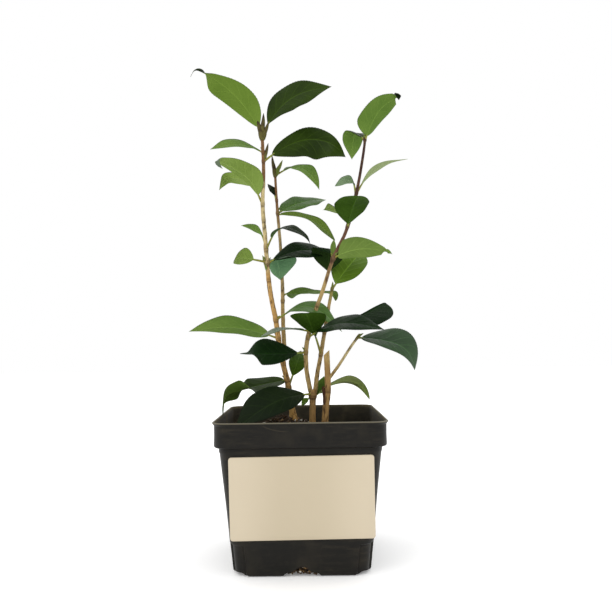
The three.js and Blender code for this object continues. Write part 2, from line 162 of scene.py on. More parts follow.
@dataclass
class Gathering:
    """Faces gathered for one piece, with a finish slot for each face and a map place for each vertex."""

    points: list[np.ndarray] = field(default_factory=list)
    spots: list[np.ndarray] = field(default_factory=list)
    faces: list[tuple[int, ...]] = field(default_factory=list)
    slots: list[int] = field(default_factory=list)
    count: int = 0

    def add(self, points: np.ndarray, faces: Sequence[Sequence[int]], slots: Any, spots: Any = None) -> None:
        """Adds vertices and the faces between them.

        Args:
            points: Vertices, one in each row, in millimetres.
            faces: Vertex numbers of each face, counted within these points.
            slots: One finish slot for all the faces, or one for each.
            spots: Map places, one in each row, or None for none.
        """
        self.points.append(np.asarray(points, float))
        self.spots.append(np.zeros((len(points), 2)) if spots is None else np.asarray(spots, float))
        self.faces.extend(tuple(int(corner) + self.count for corner in face) for face in faces)
        self.slots.extend([slots] * len(faces) if isinstance(slots, int) else list(slots))
        self.count += len(points)

    def tube(self, rings: np.ndarray, slots: Any, spots: Any = None, capped: bool = True,
             cap_slots: tuple[int, int] = (-1, -1)) -> None:
        """Skins a tube over rings of equal length.

        Args:
            rings: Array of rings by vertices by 3, each ring turning the same way.
            slots: One slot, or one for each step round the ring.
            spots: Array of rings by vertices by 2 of map places, or None.
            capped: Whether the first and last ring are closed by a face.
            cap_slots: Slots of the two end faces, or -1 for the slot of the wall.
        """
        count, sides = rings.shape[:2]
        faces = []
        own = []
        for ring in range(count - 1):
            for side in range(sides):
                start = ring * sides + side
                beside = ring * sides + (side + 1) % sides
                faces.append((start, beside, beside + sides, start + sides))
                own.append(slots if isinstance(slots, int) else slots[side])
        if capped:
            wall = own[0]
            faces.append(tuple(range(sides - 1, -1, -1)))
            own.append(wall if cap_slots[0] < 0 else cap_slots[0])
            last = (count - 1) * sides
            faces.append(tuple(range(last, last + sides)))
            own.append(wall if cap_slots[1] < 0 else cap_slots[1])
        flat = None if spots is None else spots.reshape(-1, 2)
        self.add(rings.reshape(-1, 3), faces, own, flat)

    def piece(self, name: str, materials: Sequence[bpy.types.Material], crease: float = 40.0,
              outward: bool = False) -> bpy.types.Object:
        """Makes the piece in the scene, in metres.

        Args:
            name: The piece's name.
            materials: Its materials, in the order of the slots.
            crease: Edges sharper than this many degrees are shaded as edges.
            outward: Whether the faces are first turned to point out of each closed body.

        Returns:
            The new object.
        """
        mesh = bpy.data.meshes.new(name)
        mesh.from_pydata((np.concatenate(self.points) * MILLIMETRE).tolist(), [], self.faces)
        mesh.polygons.foreach_set("material_index", self.slots)
        spots = np.concatenate(self.spots)
        corners = np.empty(len(mesh.loops), int)
        mesh.loops.foreach_get("vertex_index", corners)
        layer = mesh.uv_layers.new(name="Growth")
        layer.uv.foreach_set("vector", spots[corners].astype(np.float32).ravel())
        for material in materials:
            mesh.materials.append(material)
        if outward:
            face_outward(mesh)
        shade(mesh, crease)
        mesh.update()
        made = bpy.data.objects.new(name, mesh)
        bpy.context.scene.collection.objects.link(made)
        return made


def settle(piece: bpy.types.Object, slot: str, *nodes: str) -> None:
    """Rides a finished piece on the frame and tells which solids it stands for.

    Args:
        piece: The finished piece, in place.
        slot: The record's material slot; not used.
        nodes: The frame's solids that it stands for.
    """
    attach(piece, BODY)
    if nodes:
        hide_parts(*nodes)
    log.info("%s: %d faces, for %s", piece.name, len(piece.data.polygons), ", ".join(nodes) or "no solid")


# Shader nodes


class Canvas:
    """Adds and joins the nodes of one material or one node group."""

    def __init__(self, tree: bpy.types.NodeTree) -> None:
        """Starts with an empty tree."""
        self.tree = tree
        tree.nodes.clear()

    def add(self, kind: str, inputs: Optional[dict[Any, Any]] = None, **settings: Any) -> bpy.types.Node:
        """Adds a node.

        Args:
            kind: Blender's name for the node type.
            inputs: Value or incoming socket for each input, by name or number.
            settings: Values of the node's own properties.

        Returns:
            The new node.
        """
        node = self.tree.nodes.new(kind)
        for name, value in settings.items():
            setattr(node, name, value)
        for name, value in (inputs or {}).items():
            if isinstance(value, bpy.types.NodeSocket):
                self.tree.links.new(value, node.inputs[name])
            else:
                node.inputs[name].default_value = value
        return node

    def place(self) -> Socket:
        """The place on the piece, in its own axes and in metres."""
        return self.add("ShaderNodeTexCoord").outputs["Object"]

    def growth(self) -> Socket:
        """The place on the piece's growth map."""
        return self.add("ShaderNodeUVMap", uv_map="Growth").outputs[0]

    def parts(self, vector: Any) -> Sequence[Socket]:
        """The three numbers of a vector."""
        return self.add("ShaderNodeSeparateXYZ", {0: vector}).outputs

    def maths(self, operation: str, first: Any, second: Any = 0.0, third: float = 0.0) -> Socket:
        """Adds a Math node and returns its result."""
        return self.add("ShaderNodeMath", {0: first, 1: second, 2: third}, operation=operation).outputs[0]

    def times(self, first: Any, second: Any) -> Socket:
        """Multiplies two values."""
        return self.maths("MULTIPLY", first, second)

    def plus(self, first: Any, second: Any) -> Socket:
        """Adds two values up."""
        return self.maths("ADD", first, second)

    def ramp(self, value: Any, low: float, high: float, start: float = 0.0, end: float = 1.0,
             eased: bool = True) -> Socket:
        """Maps a value from one range to another, held at both ends.

        Args:
            value: The incoming socket.
            low: Where the range starts.
            high: Where it ends.
            start: The result at low.
            end: The result at high.
            eased: Whether it starts and stops softly.

        Returns:
            The mapped value's socket.
        """
        inputs = {"Value": value, "From Min": low, "From Max": high, "To Min": start, "To Max": end}
        way = "SMOOTHSTEP" if eased else "LINEAR"
        return self.add("ShaderNodeMapRange", inputs, interpolation_type=way).outputs[0]

    def level(self, share: Any, start: float = 0.0, end: float = 1.0) -> Socket:
        """Runs evenly from start to end as a share runs from 0 to 1."""
        return self.ramp(share, 0.0, 1.0, start, end, eased=False)

    def blend(self, share: Any, first: Any, second: Any, way: str = "MIX") -> Socket:
        """Mixes two colours by a share."""
        inputs = {0: share, 6: first, 7: second}
        return self.add("ShaderNodeMix", inputs, data_type="RGBA", blend_type=way).outputs[2]

    def vector_maths(self, operation: str, *inputs: Any) -> Sequence[Socket]:
        """Adds a Vector Math node and returns its outputs."""
        return self.add("ShaderNodeVectorMath", dict(enumerate(inputs)), operation=operation).outputs

    def stretched(self, place: Any, scale: Triple) -> Socket:
        """Scales a place by a factor for each axis."""
        return self.vector_maths("MULTIPLY", place, scale)[0]

    def speckle(self, place: Any, scale: Any, detail: float = 3.0, rough: float = 0.55) -> Socket:
        """Adds a noise texture and returns its value."""
        inputs = {"Vector": place, "Scale": scale, "Detail": detail, "Roughness": rough}
        return self.add("ShaderNodeTexNoise", inputs).outputs[0]

    def group(self, tree: bpy.types.NodeTree, inputs: dict[str, Any]) -> Sequence[Socket]:
        """Places a node group with its own values and returns its outputs."""
        return self.add("ShaderNodeGroup", inputs, node_tree=tree).outputs


def new_group(name: str, inputs: dict[str, Optional[float]],
              outputs: Sequence[str]) -> tuple[Canvas, Sequence[Socket]]:
    """Makes a node group with its sockets.

    Args:
        name: The group's name.
        inputs: First value of each number that it takes, by name, or None for a vector.
        outputs: Names of the numbers that it gives.

    Returns:
        The group's canvas, and what comes in.
    """
    tree = bpy.data.node_groups.new(name, "ShaderNodeTree")
    for socket_name, value in inputs.items():
        kind = "NodeSocketVector" if value is None else "NodeSocketFloat"
        socket = tree.interface.new_socket(name=socket_name, in_out="INPUT", socket_type=kind)
        if value is not None:
            socket.default_value = value
    for socket_name in outputs:
        tree.interface.new_socket(name=socket_name, in_out="OUTPUT", socket_type="NodeSocketFloat")
    canvas = Canvas(tree)
    return canvas, canvas.add("NodeGroupInput").outputs


class Effects:
    """The effects that several materials share, each built once as a node group."""

    def __init__(self) -> None:
        """Builds every group."""
        self.mottle = self._two_scales("Mottle", (2.0, 4.0), spread=True)
        self.relief = self._two_scales("Relief", (3.0, 3.0), spread=False)
        self.dust = self._dust()
        self.veins = self._veins()

    @staticmethod
    def _two_scales(name: str, details: tuple[float, float], spread: bool) -> bpy.types.NodeTree:
        """Coarse and fine noise, mixed by a share.

        Args:
            name: The group's name.
            details: Detail of the coarse noise and of the fine noise.
            spread: Whether the middle of its range is spread out to a mask from 0 to 1.

        Returns:
            The group.
        """
        inputs = {"Place": None, "Coarse": 100.0, "Fine": 1000.0, "Fine Share": 0.35}
        canvas, given = new_group(name, inputs, ("Value",))
        coarse, fine = (
            canvas.speckle(given["Place"], given[scale], detail, PLAIN_ROUGHNESS)
            for scale, detail in zip(("Coarse", "Fine"), details)
        )
        mixed = canvas.add("ShaderNodeMix", {0: given["Fine Share"], 2: coarse, 3: fine}, data_type="FLOAT")
        value = mixed.outputs[0]
        canvas.add("NodeGroupOutput", {"Value": canvas.ramp(value, 0.3, 0.7) if spread else value})
        return canvas.tree

    @staticmethod
    def _dust() -> bpy.types.NodeTree:
        """Where dust settles: on faces that look up, and in soft patches."""
        inputs = {"Place": None, "Facing": None, "Patch": 90.0, "Amount": 0.5}
        canvas, given = new_group("Dust", inputs, ("Mask",))
        lying = canvas.ramp(canvas.parts(given["Facing"])[2], 0.1, 0.9)
        soft = canvas.ramp(canvas.speckle(given["Place"], given["Patch"], 5.0, PLAIN_ROUGHNESS), 0.42, 0.72)
        both = canvas.maths("MAXIMUM", canvas.times(soft, 0.6), lying)
        canvas.add("NodeGroupOutput", {"Mask": canvas.times(both, given["Amount"])})
        return canvas.tree

    @staticmethod
    def _veins() -> bpy.types.NodeTree:
        """The midrib, the side veins and the margin of a leaf, read from its growth map.

        The map runs from 0 at the blade's foot to 1 at its tip, and from 0 to 1 across, with the midrib at
        0.5.
        """
        inputs = {"Growth": None, "Pairs": VEIN_PAIRS, "Slant": VEIN_SLANT}
        canvas, given = new_group("Veins", inputs, ("Midrib", "Side", "Margin"))
        parts = canvas.parts(given["Growth"])
        out = canvas.maths("ABSOLUTE", canvas.maths("MULTIPLY_ADD", parts[1], 2.0, -1.0))
        steps = canvas.plus(canvas.times(parts[0], given["Pairs"]), 8.0)
        lean = canvas.times(canvas.maths("POWER", out, 0.8), given["Slant"])
        turn = canvas.maths("FRACT", canvas.maths("SUBTRACT", steps, lean))
        line = canvas.ramp(canvas.maths("ABSOLUTE", canvas.maths("SUBTRACT", turn, 0.5)), 0.4, 0.49)
        canvas.add("NodeGroupOutput", {
            "Midrib": canvas.ramp(out, 0.0, 0.075, 1.0, 0.0),
            "Side": canvas.times(line, canvas.ramp(out, 0.6, 0.95, 1.0, 0.0)),
            "Margin": canvas.ramp(out, 0.93, 1.0),
        })
        return canvas.tree

    def mottled(self, canvas: Canvas, place: Any, coarse: float, fine: float,
                fine_share: float = 0.35) -> Socket:
        """Places broad and fine patches and returns their mask."""
        inputs = {"Place": place, "Coarse": coarse, "Fine": fine, "Fine Share": fine_share}
        return canvas.group(self.mottle, inputs)["Value"]

    def bumps(self, canvas: Canvas, place: Any, coarse: float, fine: float, fine_share: float) -> Socket:
        """Places coarse and fine bumps and returns their height."""
        inputs = {"Place": place, "Coarse": coarse, "Fine": fine, "Fine Share": fine_share}
        return canvas.group(self.relief, inputs)["Value"]


@dataclass(frozen=True)
class Finish:
    """What every finish has: a name, a material to be dressed and a shader to close it."""

    name: str

    def make(self, effects: Effects) -> bpy.types.Material:
        """Builds the material."""
        material = bpy.data.materials.new(self.name)
        material.use_nodes = True
        self.dress(Canvas(material.node_tree), effects)
        return material

    def dress(self, canvas: Canvas, effects: Effects) -> None:
        """Adds the material's nodes; each kind of finish has its own."""
        raise NotImplementedError

    def surface(self, canvas: Canvas, colour: Any, rough: Any, shine: float, height: Any = None,
                depth: float = 0.0, glow: float = 0.0) -> None:
        """Closes the material with its shader and output.

        Args:
            canvas: The material's nodes.
            colour: The base colour, or its socket.
            rough: The roughness, or its socket.
            shine: The specular level.
            height: A socket for the bump's height, or None for no bump.
            depth: The bump's depth in millimetres.
            glow: How strongly the base colour also shines by itself.
        """
        inputs = {"Base Color": colour, "Roughness": rough, "Specular IOR Level": shine}
        if height is not None:
            bump = {"Height": height, "Strength": 1.0, "Distance": depth * MILLIMETRE}
            inputs["Normal"] = canvas.add("ShaderNodeBump", bump).outputs[0]
        if glow:
            inputs.update({"Emission Color": colour, "Emission Strength": glow})
        shader = canvas.add("ShaderNodeBsdfPrincipled", inputs)
        canvas.add("ShaderNodeOutputMaterial", {"Surface": shader.outputs[0]})


@dataclass(frozen=True)
class PlasticFinish(Finish):
    """Thin moulded black plastic with handling dust; on the outside also a scratch, and a light band along
    the lip's top edge that is painted highlight with dust.
    """

    body: Colour
    dusty: Colour
    roughness: float
    dust: float
    scratch_and_lip_highlight: bool = False
    # The band along the lip's top edge: painted highlight with dust.
    lip: Colour = paint(116, 110, 92)
    lip_from: float = 0.0931
    lip_full: float = 0.0937
    scratch_centre: Triple = (-0.0082, 0.0, 0.1207)
    scratch_radius: float = 0.032
    scratch_strength: float = 0.4

    def dress(self, canvas: Canvas, effects: Effects) -> None:
        """Lays streaks, dust and grains over the plastic."""
        place = canvas.place()
        facing = canvas.add("ShaderNodeNewGeometry").outputs["Normal"]
        streaks = canvas.speckle(canvas.stretched(place, (1.0, 1.0, 9.0)), 55.0, 6.0, 0.65)
        clouds = effects.mottled(canvas, place, 32.0, 420.0)
        inputs = {"Place": place, "Facing": facing, "Patch": 75.0, "Amount": self.dust}
        settled = canvas.group(effects.dust, inputs)["Mask"]
        brushed = canvas.times(canvas.ramp(streaks, 0.4, 0.75), 0.45)
        share = canvas.maths("MAXIMUM", settled, canvas.times(brushed, clouds))
        grains = canvas.ramp(canvas.speckle(place, 1700.0, 2.0), 0.66, 0.74)
        share = canvas.plus(share, canvas.times(grains, 0.22))
        if self.scratch_and_lip_highlight:
            share = canvas.plus(share, self.scratch(canvas, place))
        colour = canvas.blend(canvas.level(share), self.body, self.dusty)
        if self.scratch_and_lip_highlight:
            # Painted highlight with dust along the lip's top edge.
            lip_highlight_and_dust = canvas.times(canvas.ramp(canvas.parts(place)[2], self.lip_from, self.lip_full), 0.7)
            colour = canvas.blend(lip_highlight_and_dust, colour, self.lip)
        rough = canvas.level(share, self.roughness, min(1.0, self.roughness + 0.35))
        self.surface(canvas, colour, rough, 0.16, effects.bumps(canvas, place, 160.0, 2600.0, 0.35), 0.12)

    def scratch(self, canvas: Canvas, place: Any) -> Socket:
        """A faint curved scratch on the front of the band, as a mask."""
        flat = canvas.stretched(place, (1.0, 0.0, 1.0))
        apart = canvas.vector_maths("SUBTRACT", flat, self.scratch_centre)[0]
        length = canvas.vector_maths("LENGTH", apart)[1]
        off = canvas.maths("ABSOLUTE", canvas.maths("SUBTRACT", length, self.scratch_radius))
        line = canvas.ramp(off, 0.00012, 0.0005, 1.0, 0.0)
        x, y, z = canvas.parts(place)
        front = canvas.ramp(y, -0.051, -0.049, 1.0, 0.0)
        left = canvas.ramp(x, -0.0235, -0.021)
        right = canvas.ramp(x, -0.011, -0.006, 1.0, 0.0)
        low = canvas.ramp(z, 0.0935, 0.0925)
        seen = canvas.times(canvas.times(front, left), canvas.times(right, low))
        return canvas.times(canvas.times(line, seen), self.scratch_strength)


@dataclass(frozen=True)
class CardFinish(Finish):
    """Smooth coated card in plain cream, lightened towards its sides by a painted reflection."""

    middle: Colour
    # The lighter colour of the painted reflection at the card's sides.
    edge: Colour

    def dress(self, canvas: Canvas, effects: Effects) -> None:
        """Lightens the card from its middle to its sides with a painted reflection."""
        place = canvas.place()
        # Painted reflection: a share that rises from the card's middle towards its sides.
        side_reflection = canvas.ramp(canvas.maths("ABSOLUTE", canvas.parts(place)[0]), 0.006, 0.043)
        clouds = effects.mottled(canvas, place, 22.0, 900.0, 0.2)
        share = canvas.plus(side_reflection, canvas.maths("MULTIPLY_ADD", clouds, 0.22, -0.11))
        colour = canvas.blend(canvas.level(share), self.middle, self.edge)
        height = effects.bumps(canvas, place, 900.0, 5200.0, 0.6)
        self.surface(canvas, colour, canvas.level(clouds, 0.38, 0.48), 0.4, height, 0.02)


@dataclass(frozen=True)
class CrumbFinish(Finish):
    """Peat, bark chips or perlite: rough, with grains of two colours."""

    dark: Colour
    light: Colour
    grain: float

    def dress(self, canvas: Canvas, effects: Effects) -> None:
        """Mixes the grains."""
        place = canvas.place()
        mask = effects.mottled(canvas, place, self.grain, self.grain * 6, 0.5)
        height = effects.bumps(canvas, place, self.grain * 2, self.grain * 9, 0.5)
        self.surface(canvas, canvas.blend(mask, self.dark, self.light), 0.9, 0.25, height, 0.5)


@dataclass(frozen=True)
class BarkFinish(Finish):
    """Bark in three stages: the old wood of the foot, the middle wood and the young wood of the tip.

    The growth map's first value is the place along the limb, from 0 to 1, and its second is 1 at a node's
    ring. The stages are where the middle wood starts and is full, and where the young wood does.
    """

    old: Colour
    middle: Colour
    young: Colour
    stages: tuple[float, float, float, float]
    streak: Colour = paint(56, 37, 20)
    ring: Colour = paint(66, 48, 32)

    def dress(self, canvas: Canvas, effects: Effects) -> None:
        """Lays the stages, then the fibres, the pores and the rings over them."""
        place = canvas.place()
        along_limb, at_ring, _ = canvas.parts(canvas.growth())
        lengthwise = canvas.stretched(place, (1.0, 1.0, 0.16))
        fibres = canvas.ramp(canvas.speckle(lengthwise, 1300.0, 4.0, 0.6), 0.42, 0.62)
        patches = canvas.ramp(canvas.speckle(canvas.stretched(place, (1.0, 1.0, 0.4)), 230.0, 4.0), 0.44, 0.6)
        ragged = canvas.times(canvas.maths("SUBTRACT", patches, 0.5), 0.08)
        along = canvas.plus(along_limb, ragged)
        first, second, third, fourth = self.stages
        colour = canvas.blend(canvas.ramp(along, first, second), self.old, self.middle)
        colour = canvas.blend(canvas.ramp(along, third, fourth), colour, self.young)
        share = canvas.times(fibres, canvas.level(patches, 0.15, 0.9))
        share = canvas.times(share, canvas.ramp(along, third, fourth, 1.0, 0.4))
        colour = canvas.blend(share, colour, self.streak)
        inputs = {"Vector": canvas.stretched(place, (1.0, 1.0, 0.45)), "Scale": 620.0}
        pore = canvas.ramp(canvas.add("ShaderNodeTexVoronoi", inputs).outputs[0], 0.1, 0.2, 0.55, 0.0)
        colour = canvas.blend(pore, colour, self.old, "LIGHTEN")
        colour = canvas.blend(canvas.times(at_ring, 0.75), colour, self.ring)
        relief = effects.bumps(canvas, lengthwise, 900.0, 3200.0, 0.4)
        height = canvas.plus(relief, canvas.times(pore, 0.6))
        self.surface(canvas, colour, canvas.level(along_limb, 0.85, 0.65), 0.15, height, 0.3)


@dataclass(frozen=True)
class LeafFinish(Finish):
    """One side of a leaf: its blade, the fresher patches of it, its veins and its margin."""

    blade: Colour
    fresh: Colour
    vein: Colour
    margin: Colour
    roughness: float
    shine: float
    vein_share: float
    raised: float

    def dress(self, canvas: Canvas, effects: Effects) -> None:
        """Freshens the blade towards its ends and draws the veins and the margin on it."""
        place = canvas.place()
        growth = canvas.growth()
        veins = canvas.group(effects.veins, {"Growth": growth, "Pairs": VEIN_PAIRS, "Slant": VEIN_SLANT})
        mask = effects.mottled(canvas, place, 48.0, 700.0, 0.25)
        towards_tip = canvas.parts(growth)[0]
        tip = canvas.ramp(towards_tip, 0.55, 1.0, 0.0, 0.45)
        foot = canvas.ramp(towards_tip, 0.0, 0.22, 0.35, 0.0)
        fresh = canvas.plus(canvas.times(mask, 0.6), canvas.plus(tip, foot))
        colour = canvas.blend(canvas.level(fresh), self.blade, self.fresh)
        colour = canvas.blend(canvas.times(veins["Side"], self.vein_share * 0.45), colour, self.vein)
        colour = canvas.blend(canvas.times(veins["Midrib"], self.vein_share), colour, self.vein)
        colour = canvas.blend(canvas.times(veins["Margin"], 0.6), colour, self.margin)
        pores = effects.bumps(canvas, place, 420.0, 2800.0, 0.35)
        ridges = canvas.maths("MAXIMUM", veins["Side"], canvas.times(veins["Midrib"], 1.4))
        height = canvas.plus(pores, canvas.times(ridges, self.raised))
        rough = canvas.level(mask, self.roughness, self.roughness + 0.1)
        self.surface(canvas, colour, rough, self.shine, height, 0.16)


@dataclass(frozen=True)
class ShootFinish(Finish):
    """A leaf stalk, a bud scale or a cut: a soft skin of two colours along its growth."""

    foot: Colour
    tip: Colour
    roughness: float = 0.5

    def dress(self, canvas: Canvas, effects: Effects) -> None:
        """Runs from the foot's colour to the tip's in soft patches."""
        place = canvas.place()
        mask = effects.mottled(canvas, place, 350.0, 1600.0, 0.4)
        patches = canvas.times(canvas.maths("SUBTRACT", mask, 0.5), 0.5)
        share = canvas.plus(canvas.parts(canvas.growth())[0], patches)
        colour = canvas.blend(canvas.ramp(share, 0.0, 1.0), self.foot, self.tip)
        height = effects.bumps(canvas, place, 700.0, 3200.0, 0.4)
        self.surface(canvas, colour, self.roughness, 0.12, height, 0.08)


@dataclass(frozen=True)
class FloorFinish(Finish):
    """The pale studio floor, which also shines a little by itself, like a light table."""

    colour: Colour
    glow: float = 0.14

    def dress(self, canvas: Canvas, effects: Effects) -> None:
        """Varies the floor's roughness a little."""
        mask = effects.mottled(canvas, canvas.place(), 3.0, 40.0)
        self.surface(canvas, self.colour, canvas.level(mask, 0.85, 0.95), 0.1, glow=self.glow)


class UpperTone(Enum):
    """A leaf's waxy upper side: the blade's colour, its fresher patches' and how much it shines. LIME is a
    green lightened by painted light and sheen.
    """

    # Painted light and sheen: a pale green standing for a lit, glossy upper side.
    LIME = (paint(122, 138, 82), paint(142, 156, 104), 0.1)
    BRIGHT = (paint(86, 110, 46), paint(106, 128, 60), 0.05)
    FRESH = (paint(78, 106, 28), paint(98, 128, 42), 0.05)
    MOSS = (paint(62, 92, 38), paint(82, 110, 52), 0.06)
    RICH = (paint(44, 68, 11), paint(64, 90, 20), 0.05)
    DEEP = (paint(26, 41, 5), paint(46, 65, 12), 0.05)
    DARK = (paint(9, 27, 6), paint(18, 41, 9), 0.06)
    SHADED = (paint(14, 25, 10), paint(26, 39, 14), 0.06)
    TEAL = (paint(30, 52, 27), paint(50, 78, 42), 0.22)
    SHEEN = (paint(70, 84, 62), paint(92, 108, 84), 0.2)


class UnderTone(Enum):
    """A leaf's matt underside: the blade's colour, its fresher patches' and how much it shines. LIME and MIST
    are lightened by painted light and sheen, NIGHT is darkened by painted shade.
    """

    # Painted light and sheen: a pale green standing for a lit underside.
    LIME = (paint(130, 144, 96), paint(144, 158, 116), 0.05)
    # Painted sheen: a pale greyish green standing for a glossy sheen.
    MIST = (paint(116, 142, 102), paint(134, 158, 122), 0.05)
    SUNLIT = (paint(166, 176, 118), paint(150, 176, 92), 0.05)
    PALE = (paint(112, 136, 60), paint(132, 154, 78), 0.05)
    FIELD = (paint(86, 111, 38), paint(102, 126, 50), 0.05)
    SAGE = (paint(90, 120, 48), paint(112, 138, 64), 0.05)
    MID = (paint(78, 106, 40), paint(100, 126, 54), 0.05)
    DIM = (paint(60, 84, 44), paint(82, 106, 62), 0.05)
    DEEP = (paint(38, 62, 9), paint(58, 86, 24), 0.05)
    TEAL = (paint(82, 120, 84), paint(102, 138, 98), 0.05)
    # Painted shade: a near-black green for an underside that lies in shade.
    NIGHT = (paint(24, 42, 11), paint(36, 56, 17), 0.05)


class LeafSkins:
    """The materials of both sides of the leaves, one for each tone."""

    def __init__(self, effects: Effects) -> None:
        """Makes every tone's material once."""
        self.upper = self._skins(effects, "upper", UpperTone, 1.5, 0.8, 0.42, 0.6, -0.5)
        self.under = self._skins(effects, "under", UnderTone, 1.3, 0.75, 0.6, 0.5, 0.6)

    def _skins(self, effects: Effects, side: str, tones: Any, vein: float, margin: float, roughness: float,
               vein_share: float, raised: float) -> dict[Enum, bpy.types.Material]:
        """Makes the materials of one side.

        Args:
            effects: The shared node groups.
            side: The side, for the materials' names.
            tones: The side's tones.
            vein: How much lighter than the fresh patches the veins are.
            margin: How much lighter than the blade the margin is.
            roughness: The blade's roughness.
            vein_share: How strongly the veins show.
            raised: How far the veins stand up, or lie in where it is below 0.

        Returns:
            The material of each tone.
        """
        return {
            tone: LeafFinish(
                f"leaf_{side}_{tone.name.lower()}", tone.value[0], tone.value[1],
                self._lighter(tone.value[1], vein), self._lighter(tone.value[0], margin),
                roughness, tone.value[2], vein_share, raised,
            ).make(effects)
            for tone in tones
        }

    @staticmethod
    def _lighter(colour: Colour, share: float) -> Colour:
        """Multiplies a colour by a share, held under white."""
        return (min(1.0, colour[0] * share), min(1.0, colour[1] * share), min(1.0, colour[2] * share), 1.0)


# The pot


@dataclass
class NurseryPot:
    """A thin square pot with a deep band, a stepped foot at its corners and a drain notch in each side."""

    height: float = 94.0
    lip_half: float = 54.0
    lip_thickness: float = 0.8
    lip_flare: float = 2.2
    band_half: float = 53.0
    band_height: float = 15.5
    ledge_height: float = 3.5
    shoulder_half: float = 49.9
    step_height: float = 19.5
    step_half: float = 44.6
    foot_half: float = 42.9
    corner_recess: float = 1.7
    corner_panel: float = 9.5
    wall: float = 1.2
    corner_radius: float = 9.0
    foot_fillet: float = 2.4
    foot_lift: float = 2.6
    foot_pull: float = 1.6
    notch_width: float = 26.0
    notch_height: float = 6.5
    notch_shoulder: float = 0.42
    notch_flutter: float = 0.3
    unevenness: float = 0.22
    per_corner: int = 10
    per_side: int = 12

    @property
    def band_foot(self) -> float:
        """Height of the band's lower edge."""
        return self.height - self.band_height

    @property
    def ledge(self) -> float:
        """Height of the small ledge under the band."""
        return self.band_foot - self.ledge_height

    def wall_half(self, height: float) -> float:
        """Half the outer width of the sloping wall at a height."""
        share = (height - self.step_height) / (self.ledge - self.step_height)
        return self.step_half + (self.shoulder_half - self.step_half) * share

    def ring(self, half: float, height: float, radius: float, recess: float = 0.0,
             rounding: Sequence[float] = (0.0, 0.0)) -> np.ndarray:
        """One level ring of the pot's outline.

        Args:
            half: Half the width across the flats.
            height: Height of the ring.
            radius: Radius of its corners.
            recess: How far the corner panels stand in.
            rounding: How far the corners are further pulled in and lifted.

        Returns:
            The ring's points.
        """
        flat = half - radius
        panel = half - self.corner_panel
        edge = min(panel + 0.9, flat + 0.01)
        inner = np.linspace(-panel, panel, self.per_side + 1)
        along = np.concatenate([[-flat - 0.02, -edge - 0.01], inner, [edge + 0.01, flat + 0.02]])
        points = []
        for side in range(4):
            angle = side * math.pi / 2
            across = np.array([math.cos(angle), math.sin(angle)])
            outward = np.array([math.sin(angle), -math.cos(angle)])
            for step in along:
                depth = recess if abs(step) > panel + 0.05 else 0.0
                place = across * step + outward * (half - depth)
                points.append([place[0], place[1], height])
            for step in range(1, self.per_corner):
                bend = step / self.per_corner * math.pi / 2
                reach = radius - recess - rounding[0] * math.sin(2 * bend)
                corner = across * (flat + reach * math.sin(bend)) + outward * (flat + reach * math.cos(bend))
                points.append([corner[0], corner[1], height + rounding[1] * math.sin(2 * bend)])
        return np.array(points)

    def profile(self) -> tuple[np.ndarray, int]:
        """All the rings from the foot up the outside, over the lip and down the inside.

        Returns:
            The rings, and the number of those on the outside.
        """
        radius = self.corner_radius
        foot_radius = radius - 1.5
        recess = self.corner_recess
        slope = (self.shoulder_half - self.step_half) / (self.ledge - self.step_height)
        outer = []
        for turn in (0.0, 22.5, 45.0, 67.5, 90.0):
            ease = math.cos(math.radians(turn))
            inset = self.foot_fillet * (1 - math.sin(math.radians(turn)))
            rise = self.foot_fillet * (1 - ease)
            rounding = (self.foot_pull * ease, self.foot_lift * ease)
            outer.append(self.ring(self.foot_half - inset, rise, foot_radius, recess, rounding))
        top = self.step_height
        lip = self.height - self.lip_thickness
        outer.extend(self.ring(*sizes) for sizes in (
            (self.foot_half + slope * 7, 9.5, foot_radius, recess),
            (self.step_half - slope * 1.6, top - 1.6, radius - 0.5, recess),
            (self.step_half - slope * 0.9, top - 0.9, radius - 0.2, recess * 0.85),
            (self.step_half - slope * 0.2, top - 0.2, radius, recess * 0.15),
            (self.step_half + slope * 0.4, top + 0.4, radius),
        ))
        for share in (0.2, 0.4, 0.6, 0.8):
            height = top + (self.ledge - top) * share
            bow = 0.25 * math.sin(math.pi * share)
            outer.append(self.ring(self.wall_half(height) - bow, height, radius))
        outer.extend(self.ring(half, height, radius) for half, height in (
            (self.shoulder_half - 0.05, self.ledge - 0.4),
            (self.shoulder_half + 0.25, self.ledge + 0.3),
            (self.shoulder_half + 0.35, self.ledge + 1.0),
            (self.shoulder_half + 0.45, self.band_foot - 0.5),
            (self.band_half - 0.9, self.band_foot + 0.05),
            (self.band_half - 0.3, self.band_foot + 0.4),
            (self.band_half, self.band_foot + 1.2),
            (self.band_half - 0.1, self.band_foot + 7.0),
            (self.band_half, self.height - self.lip_flare),
            (self.lip_half - 0.25, lip - 0.25),
            (self.lip_half, lip + 0.15),
            (self.lip_half, self.height - 0.2),
            (self.lip_half - 0.2, self.height),
        ))
        wall = self.wall
        inner = [self.ring(half, height, corner) for half, height, corner in (
            (self.lip_half - wall + 0.1, self.height, radius - 1),
            (self.lip_half - wall - 0.25, self.height - 0.3, radius - 1),
            (self.band_half - wall, self.height - self.lip_flare, radius - 1),
            (self.band_half - wall, self.band_foot + 1.4, radius - 1),
            (self.shoulder_half - wall + 0.6, self.band_foot, radius - 1),
            (self.shoulder_half - wall, self.ledge, radius - 1),
            (self.step_half - recess - wall, top, radius - 1),
            (self.foot_half - recess - wall, 4.0, radius - 2),
            (self.foot_half - recess - wall - 3.0, wall + 0.4, radius - 3),
        )]
        return np.array(outer + inner), len(outer)

